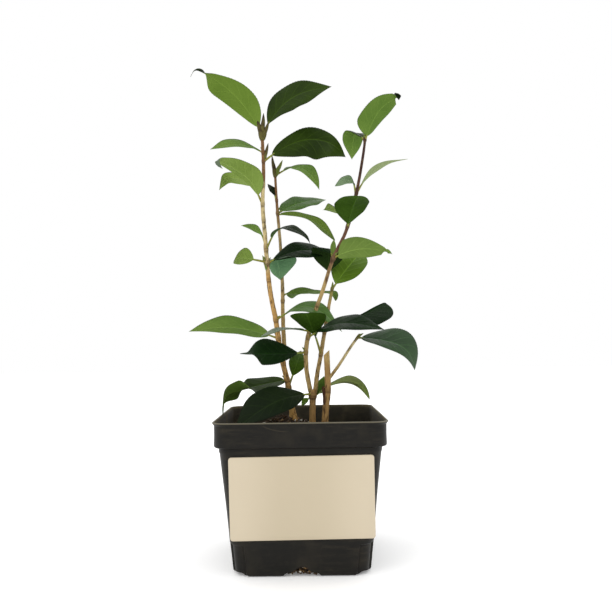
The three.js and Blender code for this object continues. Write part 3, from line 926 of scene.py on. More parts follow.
    def drains(self) -> bpy.types.Object:
        """The four arched prisms that are cut out of the foot."""
        arch = [(-self.notch_width / 2, -2.0), (self.notch_width / 2, -2.0)]
        for step in range(21):
            share = 1 - step / 20
            x = (share - 0.5) * self.notch_width
            shoulder = self.notch_shoulder * smoothstep(0.0, 0.15, min(share, 1 - share))
            lift = shoulder + (1 - self.notch_shoulder) * math.exp(-((share - 0.5) / 0.16) ** 2)
            flutter = self.notch_flutter * math.sin(share * 23.0)
            arch.append((x, -0.4 + (self.notch_height + 0.4) * lift + flutter * lift))
        gathered = Gathering()
        for side in range(4):
            rings = [
                [list(quarter_turn(side) @ Vector((x, depth, z))) for x, z in arch]
                for depth in (-self.foot_half - 3, -self.foot_half + 9)
            ]
            gathered.tube(np.array(rings), 0)
        return gathered.piece("drain_cutters", [], outward=True)

    def build(self, effects: Effects) -> bpy.types.Object:
        """Builds and dresses the pot.

        Args:
            effects: The shared node groups.

        Returns:
            The pot.
        """
        outside = PlasticFinish(
            "pot_outside", paint(17, 16, 13), paint(62, 56, 44), roughness=0.42, dust=0.35, scratch_and_lip_highlight=True
        ).make(effects)
        inside = PlasticFinish(
            "pot_inside", paint(42, 39, 31), paint(86, 78, 58), roughness=0.7, dust=0.95
        ).make(effects)
        rings, outer_count = self.profile()
        for ring in rings:
            for point in ring:
                swell = self.unevenness * ripple(point, 46.0, 3.1)
                length = math.hypot(point[0], point[1])
                point[0] += swell * point[0] / length
                point[1] += swell * point[1] / length
        gathered = Gathering()
        gathered.tube(rings[:outer_count], 0, capped=False)
        gathered.tube(rings[outer_count - 1:outer_count + 1], 0, capped=False)
        gathered.tube(rings[outer_count:], 1, capped=False)
        sides = rings.shape[1]
        gathered.add(rings[0], [tuple(range(sides - 1, -1, -1))], 0)
        gathered.add(rings[-1], [tuple(range(sides))], 1)
        pot = gathered.piece("pot_shell", [outside, inside])
        face_outward(pot.data, weld=0.00001)
        cutters = self.drains()
        cut = pot.modifiers.new("drains", "BOOLEAN")
        cut.operation = "DIFFERENCE"
        cut.solver = "EXACT"
        cut.object = cutters
        graph = bpy.context.evaluated_depsgraph_get()
        finished = bpy.data.meshes.new_from_object(pot.evaluated_get(graph))
        pot.modifiers.clear()
        pot.data = finished
        shade(pot.data, 35)
        bpy.data.objects.remove(cutters)
        settle(pot, "pot_plastic", "pot")
        return pot


@dataclass
class FrontLabel:
    """A blank card label with rounded corners on the pot's front wall."""

    pot: NurseryPot
    width: float = 88.0
    height: float = 51.0
    thickness: float = 0.75
    corner: float = 1.8
    edge_round: float = 0.4
    centre_x: float = 0.6
    centre_z: float = 48.2
    tilt: float = 0.5

    def outline(self, inset: float) -> np.ndarray:
        """The label's outline in its own plane, pulled in by an inset."""
        points = []
        radius = max(0.05, self.corner - inset)
        x = self.width / 2 - inset - radius
        y = self.height / 2 - inset - radius
        corners = ((x, y, 0), (-x, y, 90), (-x, -y, 180), (x, -y, 270))
        straight = 10
        for place, (middle_x, middle_y, start) in enumerate(corners):
            for step in range(7):
                angle = math.radians(start + step * 15)
                points.append((middle_x + radius * math.cos(angle), middle_y + radius * math.sin(angle)))
            after = corners[(place + 1) % 4]
            end = math.radians(start + 90)
            first = np.array([middle_x + radius * math.cos(end), middle_y + radius * math.sin(end)])
            last = np.array([after[0] + radius * math.cos(end), after[1] + radius * math.sin(end)])
            for step in range(1, straight):
                points.append(tuple(first + (last - first) * step / straight))
        return np.array(points)

    def build(self, effects: Effects) -> bpy.types.Object:
        """Builds and dresses the label.

        Args:
            effects: The shared node groups.

        Returns:
            The label.
        """
        # The second colour is the cream lightened by a painted reflection, shown at the card's sides.
        card = CardFinish("label_card", paint(187, 174, 149), paint(197, 184, 160)).make(effects)
        face = self.thickness
        levels = [(0.0, 0.02), (0.0, face - 0.35), (0.12, face - 0.1), (self.edge_round, face)]
        rings = []
        for inset, out in levels:
            outline = self.outline(inset)
            rings.append(np.column_stack([outline, np.full(len(outline), out)]))
        outline = self.outline(self.edge_round)
        for share in (0.85, 0.65, 0.45, 0.25, 0.08):
            inner = outline * share
            bulge = face + 0.14 * (1 - share)
            out = [bulge + 0.05 * ripple((x, y, 0.0), 16.0, 1.7) for x, y in inner]
            rings.append(np.column_stack([inner, out]))
        slope = (self.pot.wall_half(self.centre_z + 1) - self.pot.wall_half(self.centre_z - 1)) / 2
        tilt = math.radians(self.tilt)
        placed = []
        lean = math.atan(slope)
        for ring in rings:
            x = ring[:, 0] * math.cos(tilt) - ring[:, 1] * math.sin(tilt)
            up = ring[:, 0] * math.sin(tilt) + ring[:, 1] * math.cos(tilt)
            out = ring[:, 2]
            y = -self.pot.wall_half(self.centre_z) - up * math.sin(lean) - out * math.cos(lean)
            z = self.centre_z + up * math.cos(lean) - out * math.sin(lean)
            placed.append(np.column_stack([self.centre_x + x, y, z]))
        gathered = Gathering()
        gathered.tube(np.array(placed), 0)
        label = gathered.piece("front_label", [card], crease=50.0, outward=True)
        settle(label, "label_card", "label")
        return label


@dataclass
class PottingMix:
    """Peat mounded round the canes, with bark chips and perlite lying on it and in the drain notches."""

    pot: NurseryPot
    level: float = 79.6
    mound_x: float = -10.0
    mound_y: float = 17.0
    mound_height: float = 9.5
    mound_spread: float = 19.0
    gap: float = 0.25
    top_rings: int = 44
    chips: int = 900
    perlite: int = 90
    least_in_notch: int = 6
    top_per_notch_bit: int = 20
    notch_shrink: float = 0.85
    seed: int = 5

    def height_at(self, x: float, y: float) -> float:
        """Height of the mix before its crumbs."""
        away = math.hypot(x - self.mound_x, y - self.mound_y) / self.mound_spread
        return self.level + self.mound_height * math.exp(-away * away)

    def bed(self) -> Gathering:
        """The body of the mix, with a crumbly top."""
        pot = self.pot
        inset = pot.wall + self.gap
        radius = pot.corner_radius - 1.5
        recess = pot.corner_recess
        rings = [
            pot.ring(pot.foot_half - recess - inset - 3.2, pot.wall + 0.7, radius - 1.5),
            pot.ring(pot.foot_half - recess - inset, 4.2, radius - 1),
            pot.ring(pot.step_half - recess - inset, pot.step_height, radius),
            pot.ring(pot.shoulder_half - inset, pot.ledge, radius),
            pot.ring(pot.shoulder_half - inset, pot.band_foot + 0.6, radius),
            pot.ring(pot.band_half - inset, pot.band_foot + 2.0, radius),
        ]
        top = pot.ring(pot.band_half - inset, 0.0, radius)
        for step in range(self.top_rings):
            ring = top * (1 - step / self.top_rings)
            for point in ring:
                rough = 0.7 * ripple((point[0], point[1], 0.0), 5.0, 0.3)
                rough += 0.55 * ripple((point[0], point[1], 0.0), 1.9, 7.3)
                point[2] = self.height_at(point[0], point[1]) + rough
            rings.append(ring)
        gathered = Gathering()
        gathered.tube(np.array(rings), 0)
        return gathered

    def crumb(self, dice: random.Random, centre: np.ndarray, size: Triple, turn: Matrix) -> np.ndarray:
        """Eight jittered corners of one crumb.

        Args:
            dice: The seeded random source.
            centre: The crumb's middle.
            size: Its length, width and thickness.
            turn: How it lies.

        Returns:
            Its corners: the four of its underside, then the four above them.
        """
        corners = []
        for z in (-1, 1):
            for x, y in ((-1, -1), (1, -1), (1, 1), (-1, 1)):
                jitter = [dice.uniform(0.55, 1.0) for _ in range(3)]
                place = [way * length / 2 * share for way, length, share in zip((x, y, z), size, jitter)]
                corners.append(list(Vector(centre) + turn @ Vector(place)))
        return np.array(corners)

    def scatter(self, name: str, finish: CrumbFinish, effects: Effects, count: int,
                sizes: tuple[Triple, Triple], salt: int) -> None:
        """Scatters crumbs of one kind over the mix and a few in each drain notch.

        Args:
            name: The piece's name.
            finish: The crumbs' finish.
            effects: The shared node groups.
            count: How many lie on top.
            sizes: Least and greatest length, width and thickness.
            salt: Added to the seed, so that each kind lies in its own places.
        """
        dice = random.Random(self.seed + salt)
        faces = [(0, 3, 2, 1), (4, 5, 6, 7), (0, 1, 5, 4), (1, 2, 6, 5), (2, 3, 7, 6), (3, 0, 4, 7)]
        gathered = Gathering()
        room = self.pot.band_half - self.pot.wall - 3.5
        in_notch = max(self.least_in_notch, count // self.top_per_notch_bit)
        for number in range(count + 4 * in_notch):
            size = tuple(dice.uniform(low, high) for low, high in zip(*sizes))
            turn = Matrix.Identity(3)
            spins = (("Z", dice.uniform(0, 360)), ("Y", dice.gauss(0, 22)), ("X", dice.gauss(0, 18)))
            for axis, degrees in spins:
                turn = turn @ Matrix.Rotation(math.radians(degrees), 3, axis)
            if number < count:
                x = dice.uniform(-room, room)
                y = dice.uniform(-room, room)
                centre = np.array([x, y, self.height_at(x, y) + size[2] * 0.3 + dice.uniform(-0.2, 0.5)])
            else:
                side = (number - count) % 4
                place = Vector((dice.gauss(0.5, 4.4), -self.pot.foot_half + dice.uniform(0.8, 4.2), 0))
                low = 0.5 + size[2]
                place.z = dice.uniform(low, max(low + 0.3, 6.2 - 0.06 * place.x * place.x))
                centre = np.array(quarter_turn(side) @ place)
                size = tuple(part * self.notch_shrink for part in size)
            gathered.add(self.crumb(dice, centre, size, turn), faces, 0)
        piece = gathered.piece(name, [finish.make(effects)], crease=60.0, outward=True)
        settle(piece, "potting_mix", "potting_mix")

    def build(self, effects: Effects) -> None:
        """Builds the bed and what lies on it.

        Args:
            effects: The shared node groups.
        """
        peat = CrumbFinish("peat", paint(22, 16, 11), paint(50, 38, 26), 300.0).make(effects)
        bed = self.bed().piece("mix_bed", [peat], crease=70.0, outward=True)
        settle(bed, "potting_mix", "potting_mix")
        bark = CrumbFinish("bark_chips", paint(38, 27, 17), paint(78, 58, 36), 420.0)
        self.scatter("mix_bark_chips", bark, effects, self.chips, ((2.2, 1.2, 0.7), (6.0, 2.8, 1.6)), 1)
        pale = CrumbFinish("pale_chips", paint(104, 80, 50), paint(140, 114, 74), 420.0)
        self.scatter("mix_pale_chips", pale, effects, self.chips // 5, ((1.6, 0.8, 0.5), (4.4, 1.8, 1.1)), 2)
        grit = CrumbFinish("perlite", paint(196, 190, 180), paint(226, 222, 214), 700.0)
        self.scatter("mix_perlite", grit, effects, self.perlite, ((1.1, 1.0, 0.9), (2.5, 2.2, 1.9)), 3)


# The wood


@dataclass(frozen=True)
class Limb:
    """A cane or bough on a smooth curve through its waypoints, as in the part's source."""

    foot: float
    tip: float
    flare: float
    way: tuple[Triple, ...]

    def samples(self) -> np.ndarray:
        """Points of a centripetal Catmull-Rom curve through the waypoints."""
        points = np.array(self.way, float)
        padded = np.vstack([2 * points[0] - points[1], points, 2 * points[-1] - points[-2]])
        spans = len(points) - 1
        found = []
        for share in np.linspace(0, spans, LIMB_SAMPLES):
            span = min(int(share), spans - 1)
            weight = share - span
            before, start, end, after = padded[span:span + 4]
            steps = [np.linalg.norm(b - a) ** 0.5 for a, b in ((before, start), (start, end), (end, after))]
            first, second, third = steps
            leave = (start - before) / first - (end - before) / (first + second) + (end - start) / second
            reach = (end - start) / second - (after - start) / (second + third) + (after - end) / third
            leave = leave * second
            reach = reach * second
            cubic = 2 * start - 2 * end + leave + reach
            square = -3 * start + 3 * end - 2 * leave - reach
            found.append(start + leave * weight + square * weight ** 2 + cubic * weight ** 3)
        return np.array(found)

    def middle(self, height: float) -> np.ndarray:
        """The middle of the wood at a height."""
        samples = self.samples()
        return np.array([np.interp(height, samples[:, 2], samples[:, axis]) for axis in range(3)])

    def radius(self, height: float) -> float:
        """The wood's radius at a height, with the flare at its foot."""
        low = self.way[0][2]
        high = self.way[-1][2]
        share = (height - low) / (high - low)
        swell = self.flare * math.exp((low - height) / FLARE_HEIGHT)
        return self.foot + (self.tip - self.foot) * share + swell


LIMBS: dict[str, Limb] = {
    "left": Limb(2.1, 1.1, 0.9, (
        (-5.4, 14, 88.5), (-9, 14, 112), (-14.2, 12.6, 137), (-17.1, 11, 158), (-21, 8.5, 180),
        (-23.9, 6, 218), (-25.3, 4.5, 240), (-24.3, 3, 264), (-25.2, 2, 291.5))),
    "inner": Limb(1.5, 0.9, 0, (
        (-11.2, 14.9, 137), (-12.2, 16, 158), (-12.4, 18, 184), (-13.6, 20, 212), (-16.2, 22, 247),
        (-17.2, 23, 269))),
    "middle": Limb(2.2, 2.2, 0.8, ((7.5, -2, 81), (8.1, -2, 98), (8.4, -1.5, 110))),
    "right": Limb(1.6, 0.9, 0, (
        (6.5, -2.2, 110), (4.3, -3, 124), (4.4, -3, 139), (10.4, -5, 162), (15.6, -6, 176),
        (23.5, -8, 199), (32.2, -9, 217), (40.2, -7, 244), (46.5, -5, 277), (47.4, -4, 284.5))),
    "centre": Limb(1.6, 1.1, 0, (
        (10.3, -0.2, 110), (11.5, 1, 119), (14.7, 3, 135), (20.3, 6, 166), (23.4, 7, 181))),
    "stump": Limb(2.3, 2, 0.8, (
        (15.5, -6, 80), (17.2, -6, 99), (18.6, -6, 112), (18.1, -6, 135))),
    "side": Limb(1.1, 0.8, 0, ((18.5, -5.8, 116), (25.8, -10, 126), (34.2, -15, 139), (40, -18, 147))),
}


@dataclass(frozen=True)
class WoodLook:
    """How one run of wood is dressed, and where it starts inside the wood that it grows from."""

    limb: str
    nodes: tuple[str, ...]
    finish: BarkFinish
    parent: str = ""
    parent_height: float = 0.0
    extra_rings: tuple[float, ...] = ()
    cut_slope: float = 0.0


@dataclass
class Wood:
    """Every cane, bough and shoot as a mesh with the bark's relief."""

    sides: int = 18
    spacing: float = 0.75
    sunk: float = 2.5
    cut_rings: int = 4
    leaf_ring: float = 0.3
    bare_ring: float = 0.16
    scar_below: float = 1.6
    grain: float = 0.16
    flakes: float = 0.1

    def looks(self) -> list[WoodLook]:
        """The runs of wood, each with its colours."""
        tan = paint(168, 143, 94)
        sand = paint(194, 176, 128)
        rust = paint(158, 125, 77)
        olive = paint(118, 118, 56)
        old_left = paint(188, 149, 90)
        russet = paint(124, 90, 58)
        fawn = paint(158, 139, 96)
        plum = paint(98, 68, 52)
        night = paint(58, 38, 32)
        umber = paint(116, 88, 54)
        wheat = paint(176, 150, 96)
        return [
            self.look("left", (old_left, sand, russet), (0.46, 0.6, 0.76, 0.86), ("cane_left", "bough_left"),
                      extra_rings=(128, 187, 229)),
            self.look("inner", (tan, fawn, russet), (0.2, 0.4, 0.66, 0.8), ("bough_inner",),
                      parent="left", parent_height=127, extra_rings=(203,)),
            self.look("middle", (rust, rust, rust), (0.1, 0.2, 0.8, 0.9), ("cane_middle",)),
            self.look("right", (tan, plum, night), (0.36, 0.52, 0.7, 0.86), ("bough_right",),
                      parent="middle", parent_height=104, extra_rings=(168,)),
            self.look("centre", (tan, tan, olive), (0.3, 0.6, 0.8, 0.96), ("bough_centre",),
                      parent="middle", parent_height=104, extra_rings=(165,)),
            self.look("stump", (umber, rust, wheat), (0.1, 0.2, 0.8, 0.9), ("stump_right",),
                      extra_rings=(110,), cut_slope=0.9),
            self.look("side", (tan, sand, olive), (0.2, 0.5, 0.84, 0.96), ("bough_side",),
                      parent="stump", parent_height=110),
        ]

    @staticmethod
    def look(limb: str, colours: tuple[Colour, Colour, Colour], stages: tuple[float, float, float, float],
             nodes: tuple[str, ...], **more: Any) -> WoodLook:
        """Puts one run's look together.

        Args:
            limb: The limb that it runs along.
            colours: Colours of its old, middle and young wood.
            stages: Where along the limb these change.
            nodes: The frame's solids that it stands for.
            more: The other values of the look.

        Returns:
            The look.
        """
        return WoodLook(limb, nodes, BarkFinish(f"bark_{limb}", *colours, stages), **more)

    def run(self, look: WoodLook) -> np.ndarray:
        """Points along the middle of a run of wood, evenly spaced."""
        path = LIMBS[look.limb].samples()
        if look.parent:
            root = LIMBS[look.parent].middle(look.parent_height)
            start = path[0]
            lead = [root + (start - root) * share + (path[6] - start) * (share ** 2 - share) * 0.4
                    for share in np.linspace(0, 1, 14)[:-1]]
            path = np.vstack([lead, path])
        else:
            path = np.vstack([path[0] - (0, 0, self.sunk), path])
        lengths = np.concatenate([[0], np.cumsum(np.linalg.norm(np.diff(path, axis=0), axis=1))])
        count = int(lengths[-1] / self.spacing)
        even = np.linspace(0, lengths[-1], count)
        return np.column_stack([np.interp(even, lengths, path[:, axis]) for axis in range(3)])

    def build_run(self, look: WoodLook, rings_at: Sequence[float], effects: Effects) -> None:
        """Builds and dresses one run of wood.

        Args:
            look: How it is dressed.
            rings_at: Heights where a leaf or a bud sits on it.
            effects: The shared node groups.
        """
        limb = LIMBS[look.limb]
        path = self.run(look)
        tangents = unit(np.gradient(path, axis=0))
        low = limb.way[0][2]
        high = limb.way[-1][2]
        marks = [(height, self.leaf_ring) for height in rings_at]
        marks += [(height, self.bare_ring) for height in look.extra_rings]
        rings = []
        spots = []
        for place, tangent in zip(path, tangents):
            across = unit(np.cross(np.array([0.0, 1.0, 0.0]), tangent))
            away = np.cross(tangent, across)
            height = place[2]
            radius = limb.radius(max(height, low))
            swell = 0.0
            ring_mask = 0.0
            for mark, size in marks:
                off = height - mark
                scar = off + self.scar_below
                swell += size * math.exp(-(off / 1.5) ** 2) - 0.3 * size * math.exp(-(scar / 0.45) ** 2)
                ring_mask = max(ring_mask, math.exp(-(scar / 0.7) ** 2), 0.5 * math.exp(-(off / 1.6) ** 2))
            youth = np.clip((height - low) / (high - low), 0, 1)
            ring = []
            for angle in round_angles(self.sides):
                direction = across * math.cos(angle) + away * math.sin(angle)
                grain = self.grain * ripple((direction[0] * 2.2, direction[1] * 2.2, height / 7), 1.0, 2.4)
                flake = self.flakes * ripple((direction[0] * 4, direction[1] * 4, height / 2.2), 1.0, 5.2)
                reach = radius * (1 + (grain + flake) * (1 - 0.6 * youth)) + swell * (1 - 0.35 * youth)
                ring.append(place + direction * reach)
            rings.append(ring)
            spots.append([(youth, ring_mask)] * self.sides)
        placed = np.array(rings)
        if look.cut_slope:
            for back in range(self.cut_rings):
                lean = look.cut_slope * (1 - back / self.cut_rings)
                placed[-1 - back, :, 2] += lean * (placed[-1 - back, :, 0] - path[-1 - back][0])
        gathered = Gathering()
        skins = [look.finish.make(effects)]
        if look.cut_slope:
            skins += [
                ShootFinish("cut_wood", paint(196, 164, 112), paint(168, 130, 84), 0.8).make(effects),
                ShootFinish("dead_wood", paint(74, 48, 32), paint(42, 28, 22), 0.9).make(effects),
            ]
        gathered.tube(placed, 0, np.array(spots), cap_slots=(-1, min(1, len(skins) - 1)))
        if look.cut_slope:
            self.spur(gathered)
        piece = gathered.piece(f"wood_{look.limb}", skins, crease=60.0, outward=True)
        settle(piece, "bark", *look.nodes)

    @staticmethod
    def spur(gathered: Gathering) -> None:
        """A short broken stub beside the stump."""
        root = np.array([16.8, -6.4, 100.0])
        tip = np.array([15.4, -7.6, 112.0])
        along = unit(tip - root)
        across = unit(np.cross(along, np.array([0.0, 1.0, 0.0])))
        away = np.cross(along, across)
        rings = []
        sides = 10
        steps = 11
        for step in range(steps + 1):
            share = step / steps
            radius = 1.55 - 0.75 * share + 0.12 * math.sin(share * 11)
            ring = []
            for angle in round_angles(sides):
                rag = 0.5 * math.sin(angle * 2) if step == steps else 0.0
                ring.append(root + (tip - root) * share + along * rag
                            + (across * math.cos(angle) + away * math.sin(angle)) * radius)
            rings.append(ring)
        spots = np.full((steps + 1, sides, 2), (0.3, 0.55))
        gathered.tube(np.array(rings), 2, spots)

    def build(self, growth: dict[str, list[float]], effects: Effects) -> None:
        """Builds every run of wood.

        Args:
            growth: Heights of the leaves on each limb.
            effects: The shared node groups.
        """
        for look in self.looks():
            self.build_run(look, growth.get(look.limb, []), effects)


# Leaves and buds


Turns = tuple[tuple[float, float, float], ...]


@dataclass(frozen=True)
class Leaf:
    """One leaf, by the rule of the part's source, with what its solid leaves out.

    At, heading, rise, reach, width, arch, peak, sway, roll and stalk mean what they mean in the source. Many
    leaves have values of their own here, placed after the solids were made. Bends turn the leaf towards its
    underside, curves towards its left and twists about its midrib: each from one share of the blade to
    another, by some degrees. Widest is the share of the blade where it is widest, and skew moves that back on
    its left and on by as much on its right. Foot and tip draw its ends out, or fill them below 1. Lean gives
    more of the width to its left half.
    """

    at: float
    heading: float
    rise: float
    reach: float
    width: float
    arch: float = 0.1
    peak: float = 0.5
    sway: float = 0.0
    roll: float = 0.0
    stalk: float = 7.0
    bends: Turns = ()
    curves: Turns = ()
    twists: Turns = ()
    widest: float = 0.44
    foot: float = 0.85
    tip: float = 1.1
    skew: float = 0.0
    lean: float = 0.0
    wave: float = 0.04
    fold: float = 0.12
    upper: UpperTone = UpperTone.DEEP
    under: UnderTone = UnderTone.SAGE


@dataclass(frozen=True)
class Bud:
    """A pointed bud on a limb."""

    at: float
    heading: float
    rise: float
    length: float
    width: float
    brown: bool = False


@dataclass(frozen=True)
class Spray:
    """The leaves and buds of one solid of the frame."""

    node: str
    limb: str
    leaves: tuple[Leaf, ...]
    buds: tuple[Bud, ...] = ()


# Short names for the tones in the table below
U = UpperTone
D = UnderTone

SPRAYS: tuple[Spray, ...] = (
    Spray("leaves_left_top", "left", (
        Leaf(291, 190, 41.5, 72, 21, 0.08, sway=0.08, roll=58, stalk=5, widest=0.43, skew=0.16, lean=0.05,
             foot=0.7, tip=2.4, bends=((0.82, 0.96, 80),), twists=((0.66, 0.88, -120),), upper=U.SHADED,
             under=D.FIELD),
        Leaf(291, 344, 28, 58, 28.5, 0.06, sway=0.16, roll=65, lean=0.05, widest=0.48, skew=0.1, foot=0.8,
             tip=1.1, upper=U.DEEP, under=D.MID),
        Leaf(277.5, 142, 14, 56, 15, 0.1, roll=10, stalk=3, foot=0.6, upper=U.DEEP, under=D.SAGE),
        Leaf(240.5, 205, 57, 62, 15, 0.08, roll=40, lean=0.45, widest=0.35, skew=0.08, foot=0.6, tip=1,
             bends=((0, 0.4, 52), (0.82, 0.97, 160)), upper=U.SHEEN, under=D.PALE),
        Leaf(254, 150, 16, 47, 15, 0.05, roll=25, lean=-0.25, bends=((0.65, 0.8, 90),), upper=U.SHADED,
             under=D.PALE),
        Leaf(271, 350, 10, 62, 31.5, 0.1, 0.54, 0.15, 68, lean=-0.28, widest=0.6, skew=0.05, foot=0.62,
             bends=((-0.1, 0.12, 12), (0.65, 1, 30)), upper=U.DEEP, under=D.MID),
    ), (
        Bud(289, 30, 86, 17, 4, True),
        Bud(286, 190, 78, 17, 4.4, True),
        Bud(286, 350, 70, 15, 3.6, True),
        Bud(270, 20, 76, 15, 3.4, True),
    )),
    Spray("leaves_left_middle", "left", (
        Leaf(210.5, 163, 41, 25, 11, 0.22, roll=26, upper=U.SHADED, under=D.SAGE),
        Leaf(208.5, 323, 10, 41.5, 13, 0.27, roll=20, stalk=8, foot=0.6,
             bends=((0.05, 0.3, 12), (0.82, 1, 35)), upper=U.SHADED, under=D.DIM),
        Leaf(199, 17, 6.5, 51, 24, 0.15, roll=36, stalk=4, widest=0.5, upper=U.DARK, under=D.DIM),
        Leaf(198, 48, 16, 25, 28, 0.1, stalk=4, lean=-0.25, skew=-0.12, foot=0.4, bends=((0.12, 0.45, 85),),
             upper=U.TEAL, under=D.TEAL),
        Leaf(199.5, 205, 6, 28.5, 15, 0.02, roll=42, stalk=10, lean=0.1, bends=((0.4, 0.8, 50),), tip=0.8,
             upper=U.DEEP, under=D.PALE),
    ), (
        Bud(193, 190, 72, 12, 3),
    )),
    Spray("leaf_left_low", "left", (
        Leaf(145.5, 176, 5, 65, 22, 0.09, sway=0.02, roll=35, lean=0.1, widest=0.42, skew=-0.1, foot=0.5,
             upper=U.DEEP, under=D.SAGE),
    )),
    Spray("leaf_left_cross", "left", (
        Leaf(158.5, 344, -11, 49, 22, 0.29, roll=24, upper=U.MOSS, under=D.SAGE),
    )),
    Spray("leaf_foot_outer", "left", (
        Leaf(116, 200, -12, 60, 23, 0.02, roll=-24, stalk=2, widest=0.55, foot=0.4, tip=0.5,
             bends=((0.66, 0.85, 65),), twists=((0.4, 0.6, 62),), upper=U.DEEP, under=D.SAGE),
    )),
    Spray("leaf_foot_back", "left", (
        Leaf(110.5, 70, 44, 37, 12.5, 0.1, roll=30, stalk=9, upper=U.RICH, under=D.MID),
    )),
    Spray("leaves_inner_top", "inner", (
        Leaf(266.5, 40, -2, 46, 20, 0.24, roll=5, bends=((0.6, 1, 20),), upper=U.RICH, under=D.SAGE),
        Leaf(238, 36, 19, 48, 24, 0.06, roll=27, stalk=3, foot=0.6, upper=U.MOSS, under=D.DIM),
        Leaf(237, 346, -28, 48.5, 15, 0.15, roll=-8, stalk=2, widest=0.58, foot=0.5, tip=0.75,
             twists=((0.35, 0.8, -22),), upper=U.RICH, under=D.FIELD),
        Leaf(247.5, 180, 62, 14, 8, 0.1, roll=-40, stalk=3, upper=U.SHADED, under=D.DIM),
    ), (
        Bud(265, 185, 82, 17, 3.6, True),
        Bud(266, 350, 64, 13, 3.6),
    )),
    Spray("leaf_inner_low", "inner", (
        Leaf(172.5, 25, 88, 55, 22, 0, roll=12, stalk=6, tip=0.7, bends=((-0.1, 0.06, 86), (0.8, 1, 95)),
             twists=((0, 0.08, -35), (0.12, 0.4, 32)), upper=U.DEEP, under=D.MID),
    )),
    Spray("leaf_middle_front", "middle", (
        Leaf(107, 209, -19, 61, 23, 0.17, roll=-46, lean=-0.15, widest=0.5, skew=0.1, upper=U.SHADED,
             under=D.DIM),
    )),
    Spray("leaf_middle_small", "middle", (
        Leaf(105, 190, -38, 10, 6, 0.15, roll=-30, stalk=3, upper=U.FRESH, under=D.DIM),
    )),
    Spray("leaf_middle_back", "middle", (
        Leaf(105, 18, 0, 46, 17, 0.23, 0.54, roll=-20, stalk=3, lean=-0.1, foot=0.35, tip=0.75,
             bends=((0.65, 1, 34),), upper=U.RICH, under=D.SUNLIT),
        Leaf(105.5, 20, 57, 16, 9, 0.05, roll=-85, stalk=2, lean=0.6, upper=U.RICH, under=D.MID),
    )),
    Spray("leaves_right_top", "right", (
        Leaf(283, 338, 53, 41, 19, 0.06, sway=-0.05, roll=-35, stalk=3, lean=-0.2, widest=0.4,
             skew=-0.2, foot=0.55, tip=0.9, curves=((0.35, 0.8, 18),), bends=((0.88, 1, -90),),
             twists=((0.84, 0.92, 170),), upper=U.SHADED, under=D.MID),
        Leaf(283, 120, 26, 33, 18, 0.1, stalk=4, bends=((0.25, 0.5, 95),), foot=0.5, upper=U.DEEP,
             under=D.SAGE),
    )),
    Spray("leaves_right_upper", "right", (
        # LIME on both sides of this leaf and MIST under the next one are painted light and sheen.
        Leaf(245, 22, 34.5, 51, 8.5, 0.145, roll=-34, widest=0.38, twists=((0.4, 0.9, 30),),
             upper=U.LIME, under=D.LIME),
        Leaf(243.5, 148, 50, 23, 12, 0.2, roll=20, tip=0.8, stalk=6, bends=((0.2, 0.5, 50),),
             upper=U.TEAL, under=D.MIST),
        Leaf(221, 279, 24, 33.5, 23, 0.08, stalk=2.5, lean=-0.1, widest=0.62, foot=0.8, tip=0.5,
             upper=U.RICH, under=D.DEEP),
        Leaf(223.5, 122, 26, 35, 18, 0.12, roll=25, widest=0.38, tip=1.4, upper=U.TEAL, under=D.PALE),
    )),
    Spray("leaves_right_middle", "right", (
        Leaf(198.5, 80, 64, 17, 4, 0.08, stalk=3, upper=U.BRIGHT, under=D.SAGE),
        Leaf(200, 320, -3, 49, 17, 0.05, sway=0.07, roll=72, stalk=4, lean=0.25, widest=0.3, skew=0.22,
             foot=0.35, tip=1.3, bends=((0.85, 1, 40),), twists=((0.8, 0.9, -140),), upper=U.BRIGHT,
             under=D.SAGE),
        # Its NIGHT underside is painted shade.
        Leaf(199, 98, 25, 33, 25, 0.1, bends=((0.2, 0.55, 95),), foot=0.6, upper=U.DARK, under=D.NIGHT),
    )),
    Spray("leaf_right_edge", "right", (
        Leaf(150, 220, -6, 42, 16, 0.08, roll=-3, stalk=5, upper=U.SHEEN, under=D.DIM),
    )),
    Spray("leaf_right_dark", "right", (
        Leaf(135.5, 212, 0, 50, 24.5, 0.04, sway=0.06, roll=-46, widest=0.64, skew=-0.16, foot=1, tip=1,
             lean=-0.1, twists=((0.7, 0.88, 40),), upper=U.DARK, under=D.DIM),
    )),
    Spray("leaf_right_long", "right", (
        Leaf(146, 321, 3, 61, 24, 0.12, roll=28, upper=U.DARK, under=D.DIM),
    )),
    Spray("leaves_centre_top", "centre", (
        Leaf(180, 33, 46, 40, 29, 0.08, sway=-0.05, roll=24, stalk=4, upper=U.FRESH, under=D.MID),
    )),
    Spray("leaf_centre_back", "centre", (
        Leaf(149.5, 34, 21, 61, 18, -0.03, roll=36, lean=-0.8, widest=0.75, foot=0.9, tip=0.35,
             upper=U.DARK, under=D.DIM),
    )),
    Spray("leaf_centre_fan", "centre", (
        Leaf(134, 244, 50, 36, 26, 0.04, roll=0, stalk=13, widest=0.88, foot=1.6, tip=0.35, upper=U.DEEP,
             under=D.DEEP),
    )),
    Spray("leaves_side", "side", (
        Leaf(145, 325, -16, 52, 22, 0.08, roll=32, stalk=3, lean=0.32, widest=0.5, foot=0.6,
             bends=((0.5, 0.95, 68),), upper=U.TEAL, under=D.DIM),
    )),
)


